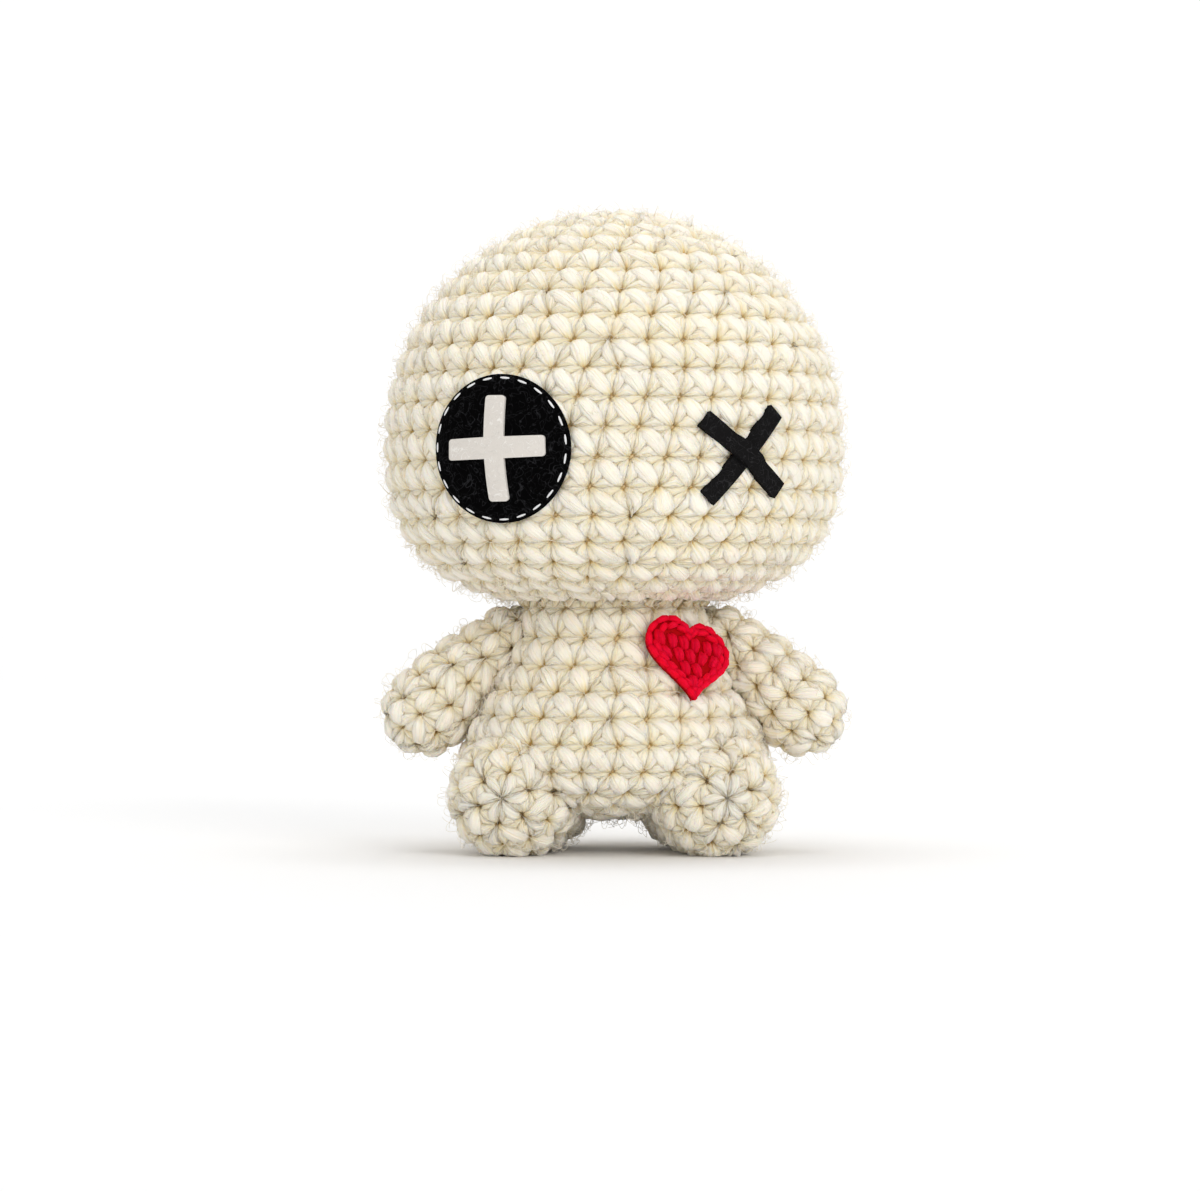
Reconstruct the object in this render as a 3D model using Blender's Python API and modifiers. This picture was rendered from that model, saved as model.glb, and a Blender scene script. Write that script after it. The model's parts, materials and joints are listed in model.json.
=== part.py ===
"""A small crocheted doll, about 75 mm tall: covers and stuffing, felt eyes and a heart.

It faces -Y and stands on the flat soles of its two feet at z = 0. Left and right are the doll's own.
The head turns and nods on a round seat at the neck, and each limb swings about the edge sewn to the
body. Lengths are in metres and angles in degrees.
"""

import math

import bmesh
import bpy
from mathutils import Matrix, Vector

# Fits shared by every piece
COVER_WALL = 0.0020
PIECE_GAP = 0.0003
CUT_GAP = 0.00035
MERGE_DISTANCE = 0.00001
CUTTER_REACH = 0.060
ROUND_FLATNESS = 2.0

# Rows of stitches on the covers, as a crest in each row and a crease between two rows
ROW_HEIGHT = 0.00345
ROW_CREASE = 0.0007

# The neck's axis stands behind the frame's origin, so that the origin is in the middle of the box
DOLL_SET_BACK = 0.0006

# Head
HEAD_RADIUS = 0.0268
HEAD_EQUATOR_HEIGHT = 0.0482
HEAD_UPPER_HEIGHT = 0.0266
HEAD_LOWER_HEIGHT = 0.0195
HEAD_LOWER_FLATNESS = 2.8
HEAD_UPPER_ROWS = 9
HEAD_LOWER_ROWS = 8
HEAD_STEPS = 36
HEAD_INSIDE_UPPER_ROWS = 6
HEAD_INSIDE_LOWER_ROWS = 6
HEAD_INSIDE_STEPS = 24

# Neck seat, a ball on the body inside a hollow of the head
SEAT_CENTRE_HEIGHT = 0.0228
SEAT_RADIUS = 0.0125
SEAT_ROWS = 5
SEAT_LOWEST_HEIGHT = 0.0286
SEAT_HOLLOW_ROWS = 14
NECK_OPENING_RADIUS = 0.0080
NECK_SEAM_DROP = 0.0004
SEAM_YARN_RADIUS = 0.0007
SEAM_SIDES = 7

# Body, heights with their radii from the neck down to the widest row
BODY_SIDE = (
    (0.0265, 0.0111),
    (0.0244, 0.0115),
    (0.0205, 0.0138),
    (0.0165, 0.0163),
    (0.0133, 0.01775),
)
BODY_RADIUS = 0.0180
BODY_WIDEST_HEIGHT = 0.0115
BODY_LOWER_HEIGHT = 0.0076
BODY_LOWER_FLATNESS = 2.4
BODY_LOWER_ROWS = 6
BODY_STEPS = 32
BODY_INSIDE_STEPS = 22

# Arms
SHOULDER_ACROSS = 0.0126
SHOULDER_HEIGHT = 0.0254
HAND_ACROSS = 0.0218
HAND_FORWARD = 0.0015
HAND_HEIGHT = 0.0165
ARM_ROOT_RADIUS = 0.0033
HAND_RADIUS = 0.00525
HAND_TIP_LENGTH = 0.0054
ARM_WALL = 0.0015
ARM_STEPS = 18
ARM_INSIDE_STEPS = 12
ARM_RAISE_ANGLE = 40.0
ARM_RELIEF_CUTS = 5

# Legs
FOOT_ACROSS = 0.0117
FOOT_FORWARD = 0.0100
HIP_ACROSS = 0.0095
HIP_BACK = 0.0040
LEG_RADIUS = 0.0074
LEG_BACK_RADIUS = 0.0073
FOOT_TIP_LENGTH = 0.0074
SOLE_CUT_DEPTH = 0.0005
LEG_WALL = 0.0018
LEG_STEPS = 20
LEG_INSIDE_STEPS = 14
HIP_PIVOT_FORWARD = 0.0040
HIP_PIVOT_HEIGHT = 0.0075
LEG_KICK_ANGLE = 6.0

# Felt eyes
FELT_THICKNESS = 0.0010
FELT_EDGE_ROUND = 0.00012
ROUND_EYE_RADIUS = 0.00875
ROUND_EYE_AZIMUTH = -29.0
ROUND_EYE_HEIGHT = 0.0471
ROUND_EYE_RINGS = 3
ROUND_EYE_STEPS = 32
EYE_CROSS_LENGTH = 0.0126
EYE_CROSS_WIDTH = 0.0024
EYE_CROSS_THICKNESS = 0.0007
EYE_CROSS_CELLS = 3
X_EYE_AZIMUTH = 33.0
X_EYE_HEIGHT = 0.0463
UNDER_STRIP_LENGTH = 0.0142
UNDER_STRIP_WIDTH = 0.0022
UNDER_STRIP_ANGLE = 47.0
OVER_STRIP_LENGTH = 0.0138
OVER_STRIP_WIDTH = 0.00224
OVER_STRIP_ANGLE = -38.0
OVER_STRIP_RAMP = 0.0020
STRIP_CELLS_LONG = 18

# Crocheted heart
HEART_WIDTH = 0.0114
HEART_HEIGHT = 0.0106
HEART_THICKNESS = 0.0018
HEART_EDGE_ROUND = 0.0006
HEART_AZIMUTH = 30.0
HEART_PITCH = 24.0
HEART_LEAN = -11.0
HEART_ACROSS = 0.0086
HEART_CENTRE_HEIGHT = 0.0222
HEART_WRAP_SHARE = 0.5
HEART_POINTS = 36
HEART_RINGS = 3
HEART_WAVES = (13.0, -4.0, -1.6, -0.7)

# Colours
CREAM = (0.82, 0.74, 0.58, 1.0)
FIBRE_WHITE = (0.90, 0.88, 0.83, 1.0)
FELT_BLACK = (0.010, 0.010, 0.012, 1.0)
FELT_WHITE = (0.76, 0.73, 0.68, 1.0)
YARN_RED = (0.58, 0.008, 0.022, 1.0)
ROUGH = 0.9


def clear_scene():
    """Empties the scene, and adds one collection for the doll and one for the cutters."""
    for obj in list(bpy.data.objects):
        bpy.data.objects.remove(obj)
    collections = []
    for name in ("amigurumi_doll", "cutters"):
        collection = bpy.data.collections.new(name)
        bpy.context.scene.collection.children.link(collection)
        collections.append(collection)
    return collections


DOLL, CUTTERS = clear_scene()


def add_piece(name, mesh, colour):
    """Adds one piece of the doll, in its own material."""
    obj = bpy.data.objects.new(name, mesh)
    DOLL.objects.link(obj)
    material = bpy.data.materials.new(name)
    material.use_nodes = True
    surface = material.node_tree.nodes["Principled BSDF"]
    surface.inputs["Base Color"].default_value = colour
    surface.inputs["Roughness"].default_value = ROUGH
    mesh.materials.append(material)
    return obj


def add_cutter(name, mesh):
    """Adds one helper solid, which only Booleans see."""
    obj = bpy.data.objects.new(name, mesh)
    CUTTERS.objects.link(obj)
    obj.hide_render = True
    obj.display_type = "WIRE"
    return obj


def cut(obj, cutter):
    """Cuts the cutter's shape out of the object."""
    modifier = obj.modifiers.new(cutter.name, "BOOLEAN")
    modifier.operation = "DIFFERENCE"
    modifier.solver = "EXACT"
    modifier.object = cutter


def hang_on_joint(name, pivot, pieces):
    """Parents the pieces that move together to an empty on their joint."""
    joint = bpy.data.objects.new(name, None)
    DOLL.objects.link(joint)
    joint.location = pivot
    joint.empty_display_size = SEAT_RADIUS
    for piece in pieces:
        piece.parent = joint
        piece.matrix_parent_inverse = Matrix.Translation(-pivot)


def outline_mesh(name, outline):
    """A mesh that holds only the half outline, as (radius, height) from the top down."""
    mesh = bpy.data.meshes.new(name)
    points = [(radius, 0.0, height) for radius, height in outline]
    edges = [(i, i + 1) for i in range(len(points) - 1)]
    mesh.from_pydata(points, edges, [])
    return mesh


def turn_outline(obj, steps):
    """Turns the object's half outline about its own Z axis into a closed solid."""
    screw = obj.modifiers.new("turned", "SCREW")
    screw.steps = steps
    screw.render_steps = steps
    screw.use_merge_vertices = True
    screw.merge_threshold = MERGE_DISTANCE
    screw.use_smooth_shade = True
    return obj


def turned_piece(name, outline, steps, colour):
    return turn_outline(add_piece(name, outline_mesh(name, outline), colour), steps)


def turned_cutter(name, outline, steps):
    return turn_outline(add_cutter(name, outline_mesh(name, outline)), steps)


def quarter_round(radius, reach, centre, rows, flatness):
    """A quarter from the pole at centre + reach out to the full radius at the centre's height."""
    points = []
    for row in range(rows + 1):
        angle = math.radians(90.0) * row / rows
        radius_share = math.sin(angle) ** (2.0 / flatness)
        reach_share = math.cos(angle) ** (2.0 / flatness) if row < rows else 0.0
        points.append((radius * radius_share, centre + reach * reach_share))
    return points


def offset_outline(outline, distance):
    """The outline moved out along its own normals, or in where the distance is negative."""
    moved = []
    last = len(outline) - 1
    for i, (radius, height) in enumerate(outline):
        if i == 0:
            moved.append((0.0, height + distance))
        elif i == last:
            moved.append((0.0, height - distance))
        else:
            along_radius = outline[i + 1][0] - outline[i - 1][0]
            along_height = outline[i + 1][1] - outline[i - 1][1]
            length = math.hypot(along_radius, along_height)
            moved.append((
                radius - along_height / length * distance,
                height + along_radius / length * distance,
            ))
    return moved


def along_outline(outline, run):
    """The outline's radius and height at a distance along it, and its outward normal there."""
    for (radius, height), (next_radius, next_height) in zip(outline, outline[1:]):
        length = math.dist((radius, height), (next_radius, next_height))
        share = run / length
        if share <= 1.0:
            break
        run -= length
    normal = ((height - next_height) / length, (next_radius - radius) / length)
    return radius + (next_radius - radius) * share, height + (next_height - height) * share, normal


def rowed_outline(outline, plain_points):
    """The outline worked in rows of stitches below its first few plain points."""
    ends = [math.dist(start, end) for start, end in zip(outline, outline[1:])]
    first = sum(ends[:plain_points - 1])
    half_row = ROW_HEIGHT / 2.0
    worked = list(outline[:plain_points])
    for number in range(1, int((sum(ends) - first) / half_row)):
        radius, height, normal = along_outline(outline, first + half_row * number)
        crease = ROW_CREASE * (1 - number % 2)
        worked.append((radius - normal[0] * crease, height - normal[1] * crease))
    return worked + [outline[-1]]


def radius_on(outline, height):
    """The outline's radius at a height, or zero above and below it."""
    for (upper_radius, upper), (lower_radius, lower) in zip(outline, outline[1:]):
        if upper >= height >= lower and upper > lower:
            share = (upper - height) / (upper - lower)
            return upper_radius + (lower_radius - upper_radius) * share
    return 0.0


def head_outline(upper_rows, lower_rows):
    upper = quarter_round(
        HEAD_RADIUS, HEAD_UPPER_HEIGHT, HEAD_EQUATOR_HEIGHT, upper_rows, ROUND_FLATNESS
    )
    lower = quarter_round(
        HEAD_RADIUS, -HEAD_LOWER_HEIGHT, HEAD_EQUATOR_HEIGHT, lower_rows, HEAD_LOWER_FLATNESS
    )
    return upper + lower[-2::-1]


def seat_outline(radius, rows):
    """A whole ball about the middle of the neck seat."""
    upper = quarter_round(radius, radius, SEAT_CENTRE_HEIGHT, rows // 2, ROUND_FLATNESS)
    lower = quarter_round(radius, -radius, SEAT_CENTRE_HEIGHT, rows // 2, ROUND_FLATNESS)
    return upper + lower[-2::-1]


def body_outline():
    lowest_angle = math.acos((SEAT_LOWEST_HEIGHT - SEAT_CENTRE_HEIGHT) / SEAT_RADIUS)
    dome = []
    for row in range(SEAT_ROWS + 1):
        angle = lowest_angle * row / SEAT_ROWS
        dome.append((SEAT_RADIUS * math.sin(angle), SEAT_CENTRE_HEIGHT + SEAT_RADIUS * math.cos(angle)))
    side = [(radius, height) for height, radius in BODY_SIDE]
    lower = quarter_round(
        BODY_RADIUS, -BODY_LOWER_HEIGHT, BODY_WIDEST_HEIGHT, BODY_LOWER_ROWS, BODY_LOWER_FLATNESS
    )
    return dome + side + lower[::-1]


def seam_section(yarn_radius, points):
    """The round section of the yarn that lies in the neck seat's edge, as (radius, height)."""
    height = SEAT_LOWEST_HEIGHT - NECK_SEAM_DROP
    radius = math.sqrt((SEAT_RADIUS - SEAM_YARN_RADIUS) ** 2 - (height - SEAT_CENTRE_HEIGHT) ** 2)
    section = []
    for i in range(points):
        angle = 2.0 * math.pi * i / points
        section.append((radius + yarn_radius * math.cos(angle), height + yarn_radius * math.sin(angle)))
    return section


def seam_mesh(name, yarn_radius, points, steps):
    """A closed ring of yarn about the Z axis."""
    rings = bmesh.new()
    section = seam_section(yarn_radius, points)
    turns = []
    for step in range(steps):
        angle = 2.0 * math.pi * step / steps
        turns.append([
            rings.verts.new((across * math.cos(angle), across * math.sin(angle), up))
            for across, up in section
        ])
    for step in range(steps):
        here = turns[step]
        there = turns[(step + 1) % steps]
        for i in range(points):
            j = (i + 1) % points
            rings.faces.new((here[i], there[i], there[j], here[j]))
    bmesh.ops.recalc_face_normals(rings, faces=rings.faces)
    mesh = bpy.data.meshes.new(name)
    rings.to_mesh(mesh)
    rings.free()
    for face in mesh.polygons:
        face.use_smooth = True
    return mesh


HEAD_OUTLINE = head_outline(HEAD_UPPER_ROWS, HEAD_LOWER_ROWS)
BODY_OUTLINE = body_outline()


# Head

def build_head():
    """The open cover, and the stuffing inside it with the same hollow for the neck."""
    cover = turned_piece("head_cover", rowed_outline(HEAD_OUTLINE, 1), HEAD_STEPS, CREAM)
    plainer = head_outline(HEAD_INSIDE_UPPER_ROWS, HEAD_INSIDE_LOWER_ROWS)
    inside = offset_outline(plainer, -COVER_WALL)
    cut(cover, turned_cutter("head_inside", inside, HEAD_INSIDE_STEPS))
    hollow = seat_outline(SEAT_RADIUS + PIECE_GAP, SEAT_HOLLOW_ROWS)
    hollow_cutter = turned_cutter("head_hollow", hollow, BODY_STEPS)
    cut(cover, hollow_cutter)
    filling = offset_outline(plainer, -COVER_WALL - PIECE_GAP)
    stuffing = turned_piece("head_stuffing", filling, HEAD_INSIDE_STEPS, FIBRE_WHITE)
    cut(stuffing, hollow_cutter)
    return [cover, stuffing]


# Body with the seam round its neck

def build_body():
    """The cover, open at the top and grooved for the neck seam, with its stuffing."""
    cover = turned_piece("body_cover", rowed_outline(BODY_OUTLINE, SEAT_ROWS + 1), BODY_STEPS, CREAM)
    inside = offset_outline(BODY_OUTLINE, -COVER_WALL)
    cut(cover, turned_cutter("body_inside", inside, BODY_INSIDE_STEPS))
    opening = [
        (0.0, CUTTER_REACH),
        (NECK_OPENING_RADIUS, CUTTER_REACH),
        (NECK_OPENING_RADIUS, SEAT_LOWEST_HEIGHT),
        (0.0, SEAT_LOWEST_HEIGHT),
    ]
    cut(cover, turned_cutter("neck_opening", opening, BODY_INSIDE_STEPS))
    groove = seam_mesh("neck_groove", SEAM_YARN_RADIUS + PIECE_GAP, SEAM_SIDES, BODY_STEPS)
    cut(cover, add_cutter("neck_groove", groove))
    filling = offset_outline(BODY_OUTLINE, -COVER_WALL - PIECE_GAP)
    turned_piece("body_stuffing", filling, BODY_INSIDE_STEPS, FIBRE_WHITE)


def build_neck_seam():
    add_piece("neck_seam", seam_mesh("neck_seam", SEAM_YARN_RADIUS, SEAM_SIDES, BODY_STEPS), CREAM)


# Limbs

def swung(cutter, pivot, axis, angle):
    """Turns a helper solid about an axis through the pivot."""
    turn = Matrix.Rotation(math.radians(angle), 4, axis)
    cutter.matrix_world = Matrix.Translation(pivot) @ turn @ Matrix.Translation(-pivot)
    return cutter


def limb_pose(start, end):
    """A place at the start whose own -Z points at the end."""
    aim = (end - start).to_track_quat("-Z", "Y")
    return Matrix.Translation(start) @ aim.to_matrix().to_4x4()


def arm_outline():
    root = quarter_round(ARM_ROOT_RADIUS, ARM_ROOT_RADIUS, 0.0, 3, ROUND_FLATNESS)
    length = math.dist(
        (SHOULDER_ACROSS, 0.0, SHOULDER_HEIGHT), (HAND_ACROSS, HAND_FORWARD, HAND_HEIGHT)
    )
    shaft = []
    for share in (0.25, 0.5, 0.75):
        swell = math.sin(math.radians(90.0) * share)
        shaft.append((ARM_ROOT_RADIUS + (HAND_RADIUS - ARM_ROOT_RADIUS) * swell, -length * share))
    hand = quarter_round(HAND_RADIUS, -HAND_TIP_LENGTH, -length, 5, ROUND_FLATNESS)
    return root + shaft + hand[::-1]


def build_arm(name, side):
    """A club-shaped cover and its stuffing, cut back where the arm swings past the body."""
    pivot = Vector((side * SHOULDER_ACROSS, 0.0, SHOULDER_HEIGHT))
    hand = Vector((side * HAND_ACROSS, -HAND_FORWARD, HAND_HEIGHT))
    pose = limb_pose(pivot, hand)
    outline = arm_outline()
    cover = turned_piece(f"{name}_cover", outline, ARM_STEPS, CREAM)
    inside = turned_cutter(f"{name}_inside", offset_outline(outline, -ARM_WALL), ARM_INSIDE_STEPS)
    filling = offset_outline(outline, -ARM_WALL - PIECE_GAP)
    stuffing = turned_piece(f"{name}_stuffing", filling, ARM_INSIDE_STEPS, FIBRE_WHITE)
    for obj in (cover, inside, stuffing):
        obj.matrix_world = pose
    cut(cover, inside)
    near_body = offset_outline(BODY_OUTLINE, CUT_GAP)
    for number in range(ARM_RELIEF_CUTS):
        angle = side * ARM_RAISE_ANGLE * number / (ARM_RELIEF_CUTS - 1)
        relief = turned_cutter(f"{name}_relief_{number}", near_body, BODY_STEPS)
        swung(relief, pivot, "Y", angle)
        cut(cover, relief)
        cut(stuffing, relief)
    hang_on_joint(f"{name}_joint", pivot, (cover, stuffing))


def leg_outline():
    length = math.dist((HIP_ACROSS, HIP_BACK), (FOOT_ACROSS, -FOOT_FORWARD))
    back = quarter_round(LEG_BACK_RADIUS, LEG_BACK_RADIUS, 0.0, 4, ROUND_FLATNESS)
    foot = quarter_round(LEG_RADIUS, -FOOT_TIP_LENGTH, -length, 6, ROUND_FLATNESS)
    middle = ((LEG_RADIUS + LEG_BACK_RADIUS) / 2.0, -length / 2.0)
    return back + [middle] + foot[::-1]


def build_leg(name, side):
    """A stubby cover and its stuffing, flat under the sole and cut back for the body above."""
    axis_height = LEG_RADIUS - SOLE_CUT_DEPTH
    hip = Vector((side * HIP_ACROSS, HIP_BACK, axis_height))
    foot = Vector((side * FOOT_ACROSS, -FOOT_FORWARD, axis_height))
    pivot = Vector((side * (HIP_ACROSS + FOOT_ACROSS) / 2.0, -HIP_PIVOT_FORWARD, HIP_PIVOT_HEIGHT))
    pose = limb_pose(hip, foot)
    outline = leg_outline()
    cover = turned_piece(f"{name}_cover", outline, LEG_STEPS, CREAM)
    inside = turned_cutter(f"{name}_inside", offset_outline(outline, -LEG_WALL), LEG_INSIDE_STEPS)
    filling = offset_outline(outline, -LEG_WALL - PIECE_GAP)
    stuffing = turned_piece(f"{name}_stuffing", filling, LEG_INSIDE_STEPS, FIBRE_WHITE)
    for obj in (cover, inside, stuffing):
        obj.matrix_world = pose
    cut(cover, inside)
    cut(cover, FLOOR_CUTTER)
    near_body = offset_outline(BODY_OUTLINE, CUT_GAP)
    for number, angle in enumerate((0.0, -LEG_KICK_ANGLE, LEG_KICK_ANGLE)):
        relief = turned_cutter(f"{name}_relief_{number}", near_body, BODY_STEPS)
        swung(relief, pivot, "X", angle)
        cut(cover, relief)
        cut(stuffing, relief)
    hang_on_joint(f"{name}_joint", pivot, (cover, stuffing))


def floor_cutter():
    """A block below z = 0, which cuts the soles flat."""
    block = bmesh.new()
    bmesh.ops.create_cube(block, size=CUTTER_REACH)
    bmesh.ops.translate(block, verts=block.verts, vec=(0.0, 0.0, -CUTTER_REACH / 2.0))
    mesh = bpy.data.meshes.new("floor_block")
    block.to_mesh(mesh)
    block.free()
    return add_cutter("floor_block", mesh)


# Felt and the heart, laid on the outlines

def facing_frame(azimuth, pitch):
    """Right, up and out for something that looks out from the doll at an azimuth and a pitch."""
    turn = math.radians(azimuth)
    lift = math.radians(pitch)
    out = Vector((
        math.sin(turn) * math.cos(lift), -math.cos(turn) * math.cos(lift), math.sin(lift)
    ))
    right = Vector((math.cos(turn), math.sin(turn), 0.0))
    return right, out.cross(right), out


def landing(outline, start, out):
    """Where a line that comes in against the out direction meets the turned outline."""
    near = 0.0
    far = HEAD_RADIUS
    outside = start + out * HEAD_RADIUS
    for _ in range(40):
        middle = (near + far) / 2.0
        point = outside - out * middle
        if math.hypot(point.x, point.y) > radius_on(outline, point.z):
            near = middle
        else:
            far = middle
    return outside - out * near


def normal_on(outline, point):
    """The turned outline's normal at a point on it."""
    step = HEAD_RADIUS / 50.0
    above = radius_on(outline, point.z + step)
    below = radius_on(outline, point.z - step)
    away = Vector((point.x, point.y, 0.0)).normalized()
    away.z = (below - above) / (step + step)
    return away.normalized()


def laid_on_head(azimuth, height, across, up, lift):
    """A point of a flat pattern laid on the head at an azimuth and a height, lifted off it."""
    right, above, out = facing_frame(azimuth, 0.0)
    middle = Vector((0.0, 0.0, height))
    spot = landing(HEAD_OUTLINE, middle + right * across + above * up, out)
    return spot + normal_on(HEAD_OUTLINE, spot) * lift


def thickened(obj, thickness, edge_round, segments):
    """Gives a sheet its thickness outwards and eases its rim."""
    solidify = obj.modifiers.new("thickness", "SOLIDIFY")
    solidify.thickness = thickness
    solidify.offset = 1.0
    bevel = obj.modifiers.new("eased", "BEVEL")
    bevel.width = edge_round
    bevel.segments = segments
    bevel.limit_method = "ANGLE"
    bevel.angle_limit = math.radians(50.0)
    return obj


def ringed_sheet(name, ring_points, colour):
    """A sheet made of rings of points round one middle point, the outermost ring first."""
    sheet = bmesh.new()
    rings = [[sheet.verts.new(point) for point in ring] for ring in ring_points[:-1]]
    middle = sheet.verts.new(ring_points[-1][0])
    count = len(rings[0])
    for outer, inner in zip(rings, rings[1:]):
        for i in range(count):
            j = (i + 1) % count
            sheet.faces.new((outer[i], outer[j], inner[j], inner[i]))
    for i in range(count):
        sheet.faces.new((rings[-1][i], rings[-1][(i + 1) % count], middle))
    for face in sheet.faces:
        face.smooth = True
    mesh = bpy.data.meshes.new(name)
    sheet.to_mesh(mesh)
    sheet.free()
    return add_piece(name, mesh, colour)


def gridded_sheet(name, cells, place, colour):
    """A sheet of square cells. Each cell is its (column, row), and place puts a corner on the head."""
    sheet = bmesh.new()
    corners = {}
    for column, row in cells:
        for corner in ((column, row), (column + 1, row), (column + 1, row + 1), (column, row + 1)):
            if corner not in corners:
                corners[corner] = sheet.verts.new(place(*corner))
    for column, row in cells:
        face = sheet.faces.new((
            corners[column, row],
            corners[column + 1, row],
            corners[column + 1, row + 1],
            corners[column, row + 1],
        ))
        face.smooth = True
    mesh = bpy.data.meshes.new(name)
    sheet.to_mesh(mesh)
    sheet.free()
    return add_piece(name, mesh, colour)


def build_round_eye():
    """A round black felt patch."""
    rings = []
    for ring in range(ROUND_EYE_RINGS + 1):
        radius = ROUND_EYE_RADIUS * (1.0 - ring / ROUND_EYE_RINGS)
        points = []
        for step in range(ROUND_EYE_STEPS):
            angle = 2.0 * math.pi * step / ROUND_EYE_STEPS
            points.append(laid_on_head(
                ROUND_EYE_AZIMUTH,
                ROUND_EYE_HEIGHT,
                radius * math.cos(angle),
                radius * math.sin(angle),
                PIECE_GAP,
            ))
        rings.append(points)
    patch = ringed_sheet("round_eye_patch", rings, FELT_BLACK)
    return thickened(patch, FELT_THICKNESS, FELT_EDGE_ROUND, 1)


def build_eye_cross():
    """A white felt cross cut in one piece, over the round patch."""
    lift = PIECE_GAP + FELT_THICKNESS + PIECE_GAP
    half_length = EYE_CROSS_LENGTH / 2.0
    half_width = EYE_CROSS_WIDTH / 2.0
    cell = (half_length - half_width) / EYE_CROSS_CELLS

    def line(number):
        """The position of a grid line, with two wider cells across the middle bar."""
        if abs(number) <= 1:
            return half_width * number
        return math.copysign(half_width + cell * (abs(number) - 1), number)

    def place(column, row):
        return laid_on_head(ROUND_EYE_AZIMUTH, ROUND_EYE_HEIGHT, line(column), line(row), lift)

    reach = EYE_CROSS_CELLS + 1
    cells = []
    for number in range(-reach, reach):
        for beside in (-1, 0):
            cells.append((number, beside))
            if number not in (-1, 0):
                cells.append((beside, number))
    cross = gridded_sheet("round_eye_cross", cells, place, FELT_WHITE)
    return thickened(cross, EYE_CROSS_THICKNESS, FELT_EDGE_ROUND, 1)


def build_x_strip(name, length, width, angle, lift_at):
    """One black felt strip of the X-shaped eye. Its lift can change along its length."""
    turn = math.radians(angle)

    def place(column, row):
        along = length * (column / STRIP_CELLS_LONG - 1.0 / 2.0)
        beside = width * (row - 1.0 / 2.0)
        across = along * math.cos(turn) - beside * math.sin(turn)
        up = along * math.sin(turn) + beside * math.cos(turn)
        return laid_on_head(X_EYE_AZIMUTH, X_EYE_HEIGHT, across, up, lift_at(along))

    cells = [(column, 0) for column in range(STRIP_CELLS_LONG)]
    strip = gridded_sheet(name, cells, place, FELT_BLACK)
    return thickened(strip, FELT_THICKNESS, FELT_EDGE_ROUND, 1)


def build_x_eye():
    """Two crossed strips, the upper one bent over the lower one."""
    flat_half = UNDER_STRIP_WIDTH / 2.0 + PIECE_GAP + PIECE_GAP

    def over_lift(along):
        climb = (flat_half + OVER_STRIP_RAMP - abs(along)) / OVER_STRIP_RAMP
        climb = min(max(climb, 0.0), 1.0)
        eased = climb * climb * (3.0 - climb - climb)
        return PIECE_GAP + (FELT_THICKNESS + PIECE_GAP) * eased

    under = build_x_strip(
        "x_eye_under_strip",
        UNDER_STRIP_LENGTH,
        UNDER_STRIP_WIDTH,
        UNDER_STRIP_ANGLE,
        lambda along: PIECE_GAP,
    )
    over = build_x_strip(
        "x_eye_over_strip", OVER_STRIP_LENGTH, OVER_STRIP_WIDTH, OVER_STRIP_ANGLE, over_lift
    )
    return [under, over]


def heart_outline():
    """Points of the heart's rim, widest and tallest at its named size."""
    raw = []
    for i in range(HEART_POINTS):
        angle = 2.0 * math.pi * i / HEART_POINTS
        across = -math.sin(angle) ** 3
        up = sum(wave * math.cos((n + 1) * angle) for n, wave in enumerate(HEART_WAVES))
        raw.append((across, up))
    top = max(up for across, up in raw)
    bottom = min(up for across, up in raw)
    half_width = HEART_WIDTH / 2.0
    return [
        (across * half_width, HEART_HEIGHT * ((up - bottom) / (top - bottom) - 1.0 / 2.0))
        for across, up in raw
    ]


def build_heart():
    """A thick heart on the chest, bent halfway round the body and leaning to the doll's left."""
    right, above, out = facing_frame(HEART_AZIMUTH, HEART_PITCH)
    facing = math.radians(HEART_AZIMUTH)
    depth = -(radius_on(BODY_OUTLINE, HEART_CENTRE_HEIGHT) + PIECE_GAP)
    middle = Vector((HEART_ACROSS, depth * math.cos(facing), HEART_CENTRE_HEIGHT))
    lean = math.radians(HEART_LEAN)
    rings = []
    depths = []
    for ring in range(HEART_RINGS + 1):
        share = 1.0 - ring / HEART_RINGS
        points = []
        for across, up in heart_outline():
            flat = Vector((across, up)) * share
            turned_across = flat.x * math.cos(lean) - flat.y * math.sin(lean)
            turned_up = flat.x * math.sin(lean) + flat.y * math.cos(lean)
            spot = middle + right * turned_across + above * turned_up
            points.append(spot)
            depths.append((landing(BODY_OUTLINE, spot, out) - spot).dot(out))
        rings.append(points)
    highest = max(depths)
    remaining = iter(depths)
    for points in rings:
        for i, spot in enumerate(points):
            sunk = (highest - next(remaining)) * HEART_WRAP_SHARE
            points[i] = spot + out * (highest + PIECE_GAP - sunk)
    heart = ringed_sheet("heart_patch", rings, YARN_RED)
    thickened(heart, HEART_THICKNESS, HEART_EDGE_ROUND, 2)


def set_doll_back():
    """Hangs the whole doll and its cutters on one empty, a little behind the origin."""
    frame = bpy.data.objects.new("doll_frame", None)
    DOLL.objects.link(frame)
    frame.location = (0.0, DOLL_SET_BACK, 0.0)
    for obj in list(DOLL.objects) + list(CUTTERS.objects):
        if obj.parent is None and obj is not frame:
            obj.parent = frame


FLOOR_CUTTER = floor_cutter()
head_pieces = build_head() + [build_round_eye(), build_eye_cross()] + build_x_eye()
hang_on_joint("neck_joint", Vector((0.0, 0.0, SEAT_CENTRE_HEIGHT)), head_pieces)
build_body()
build_neck_seam()
for limb_side, limb_name in ((1, "left"), (-1, "right")):
    build_arm(f"{limb_name}_arm", limb_side)
    build_leg(f"{limb_name}_leg", limb_side)
build_heart()
set_doll_back()
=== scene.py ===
"""A small crocheted doll with a big round head, two felt eyes and a red heart on its chest."""

import json
import math
import random

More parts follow.
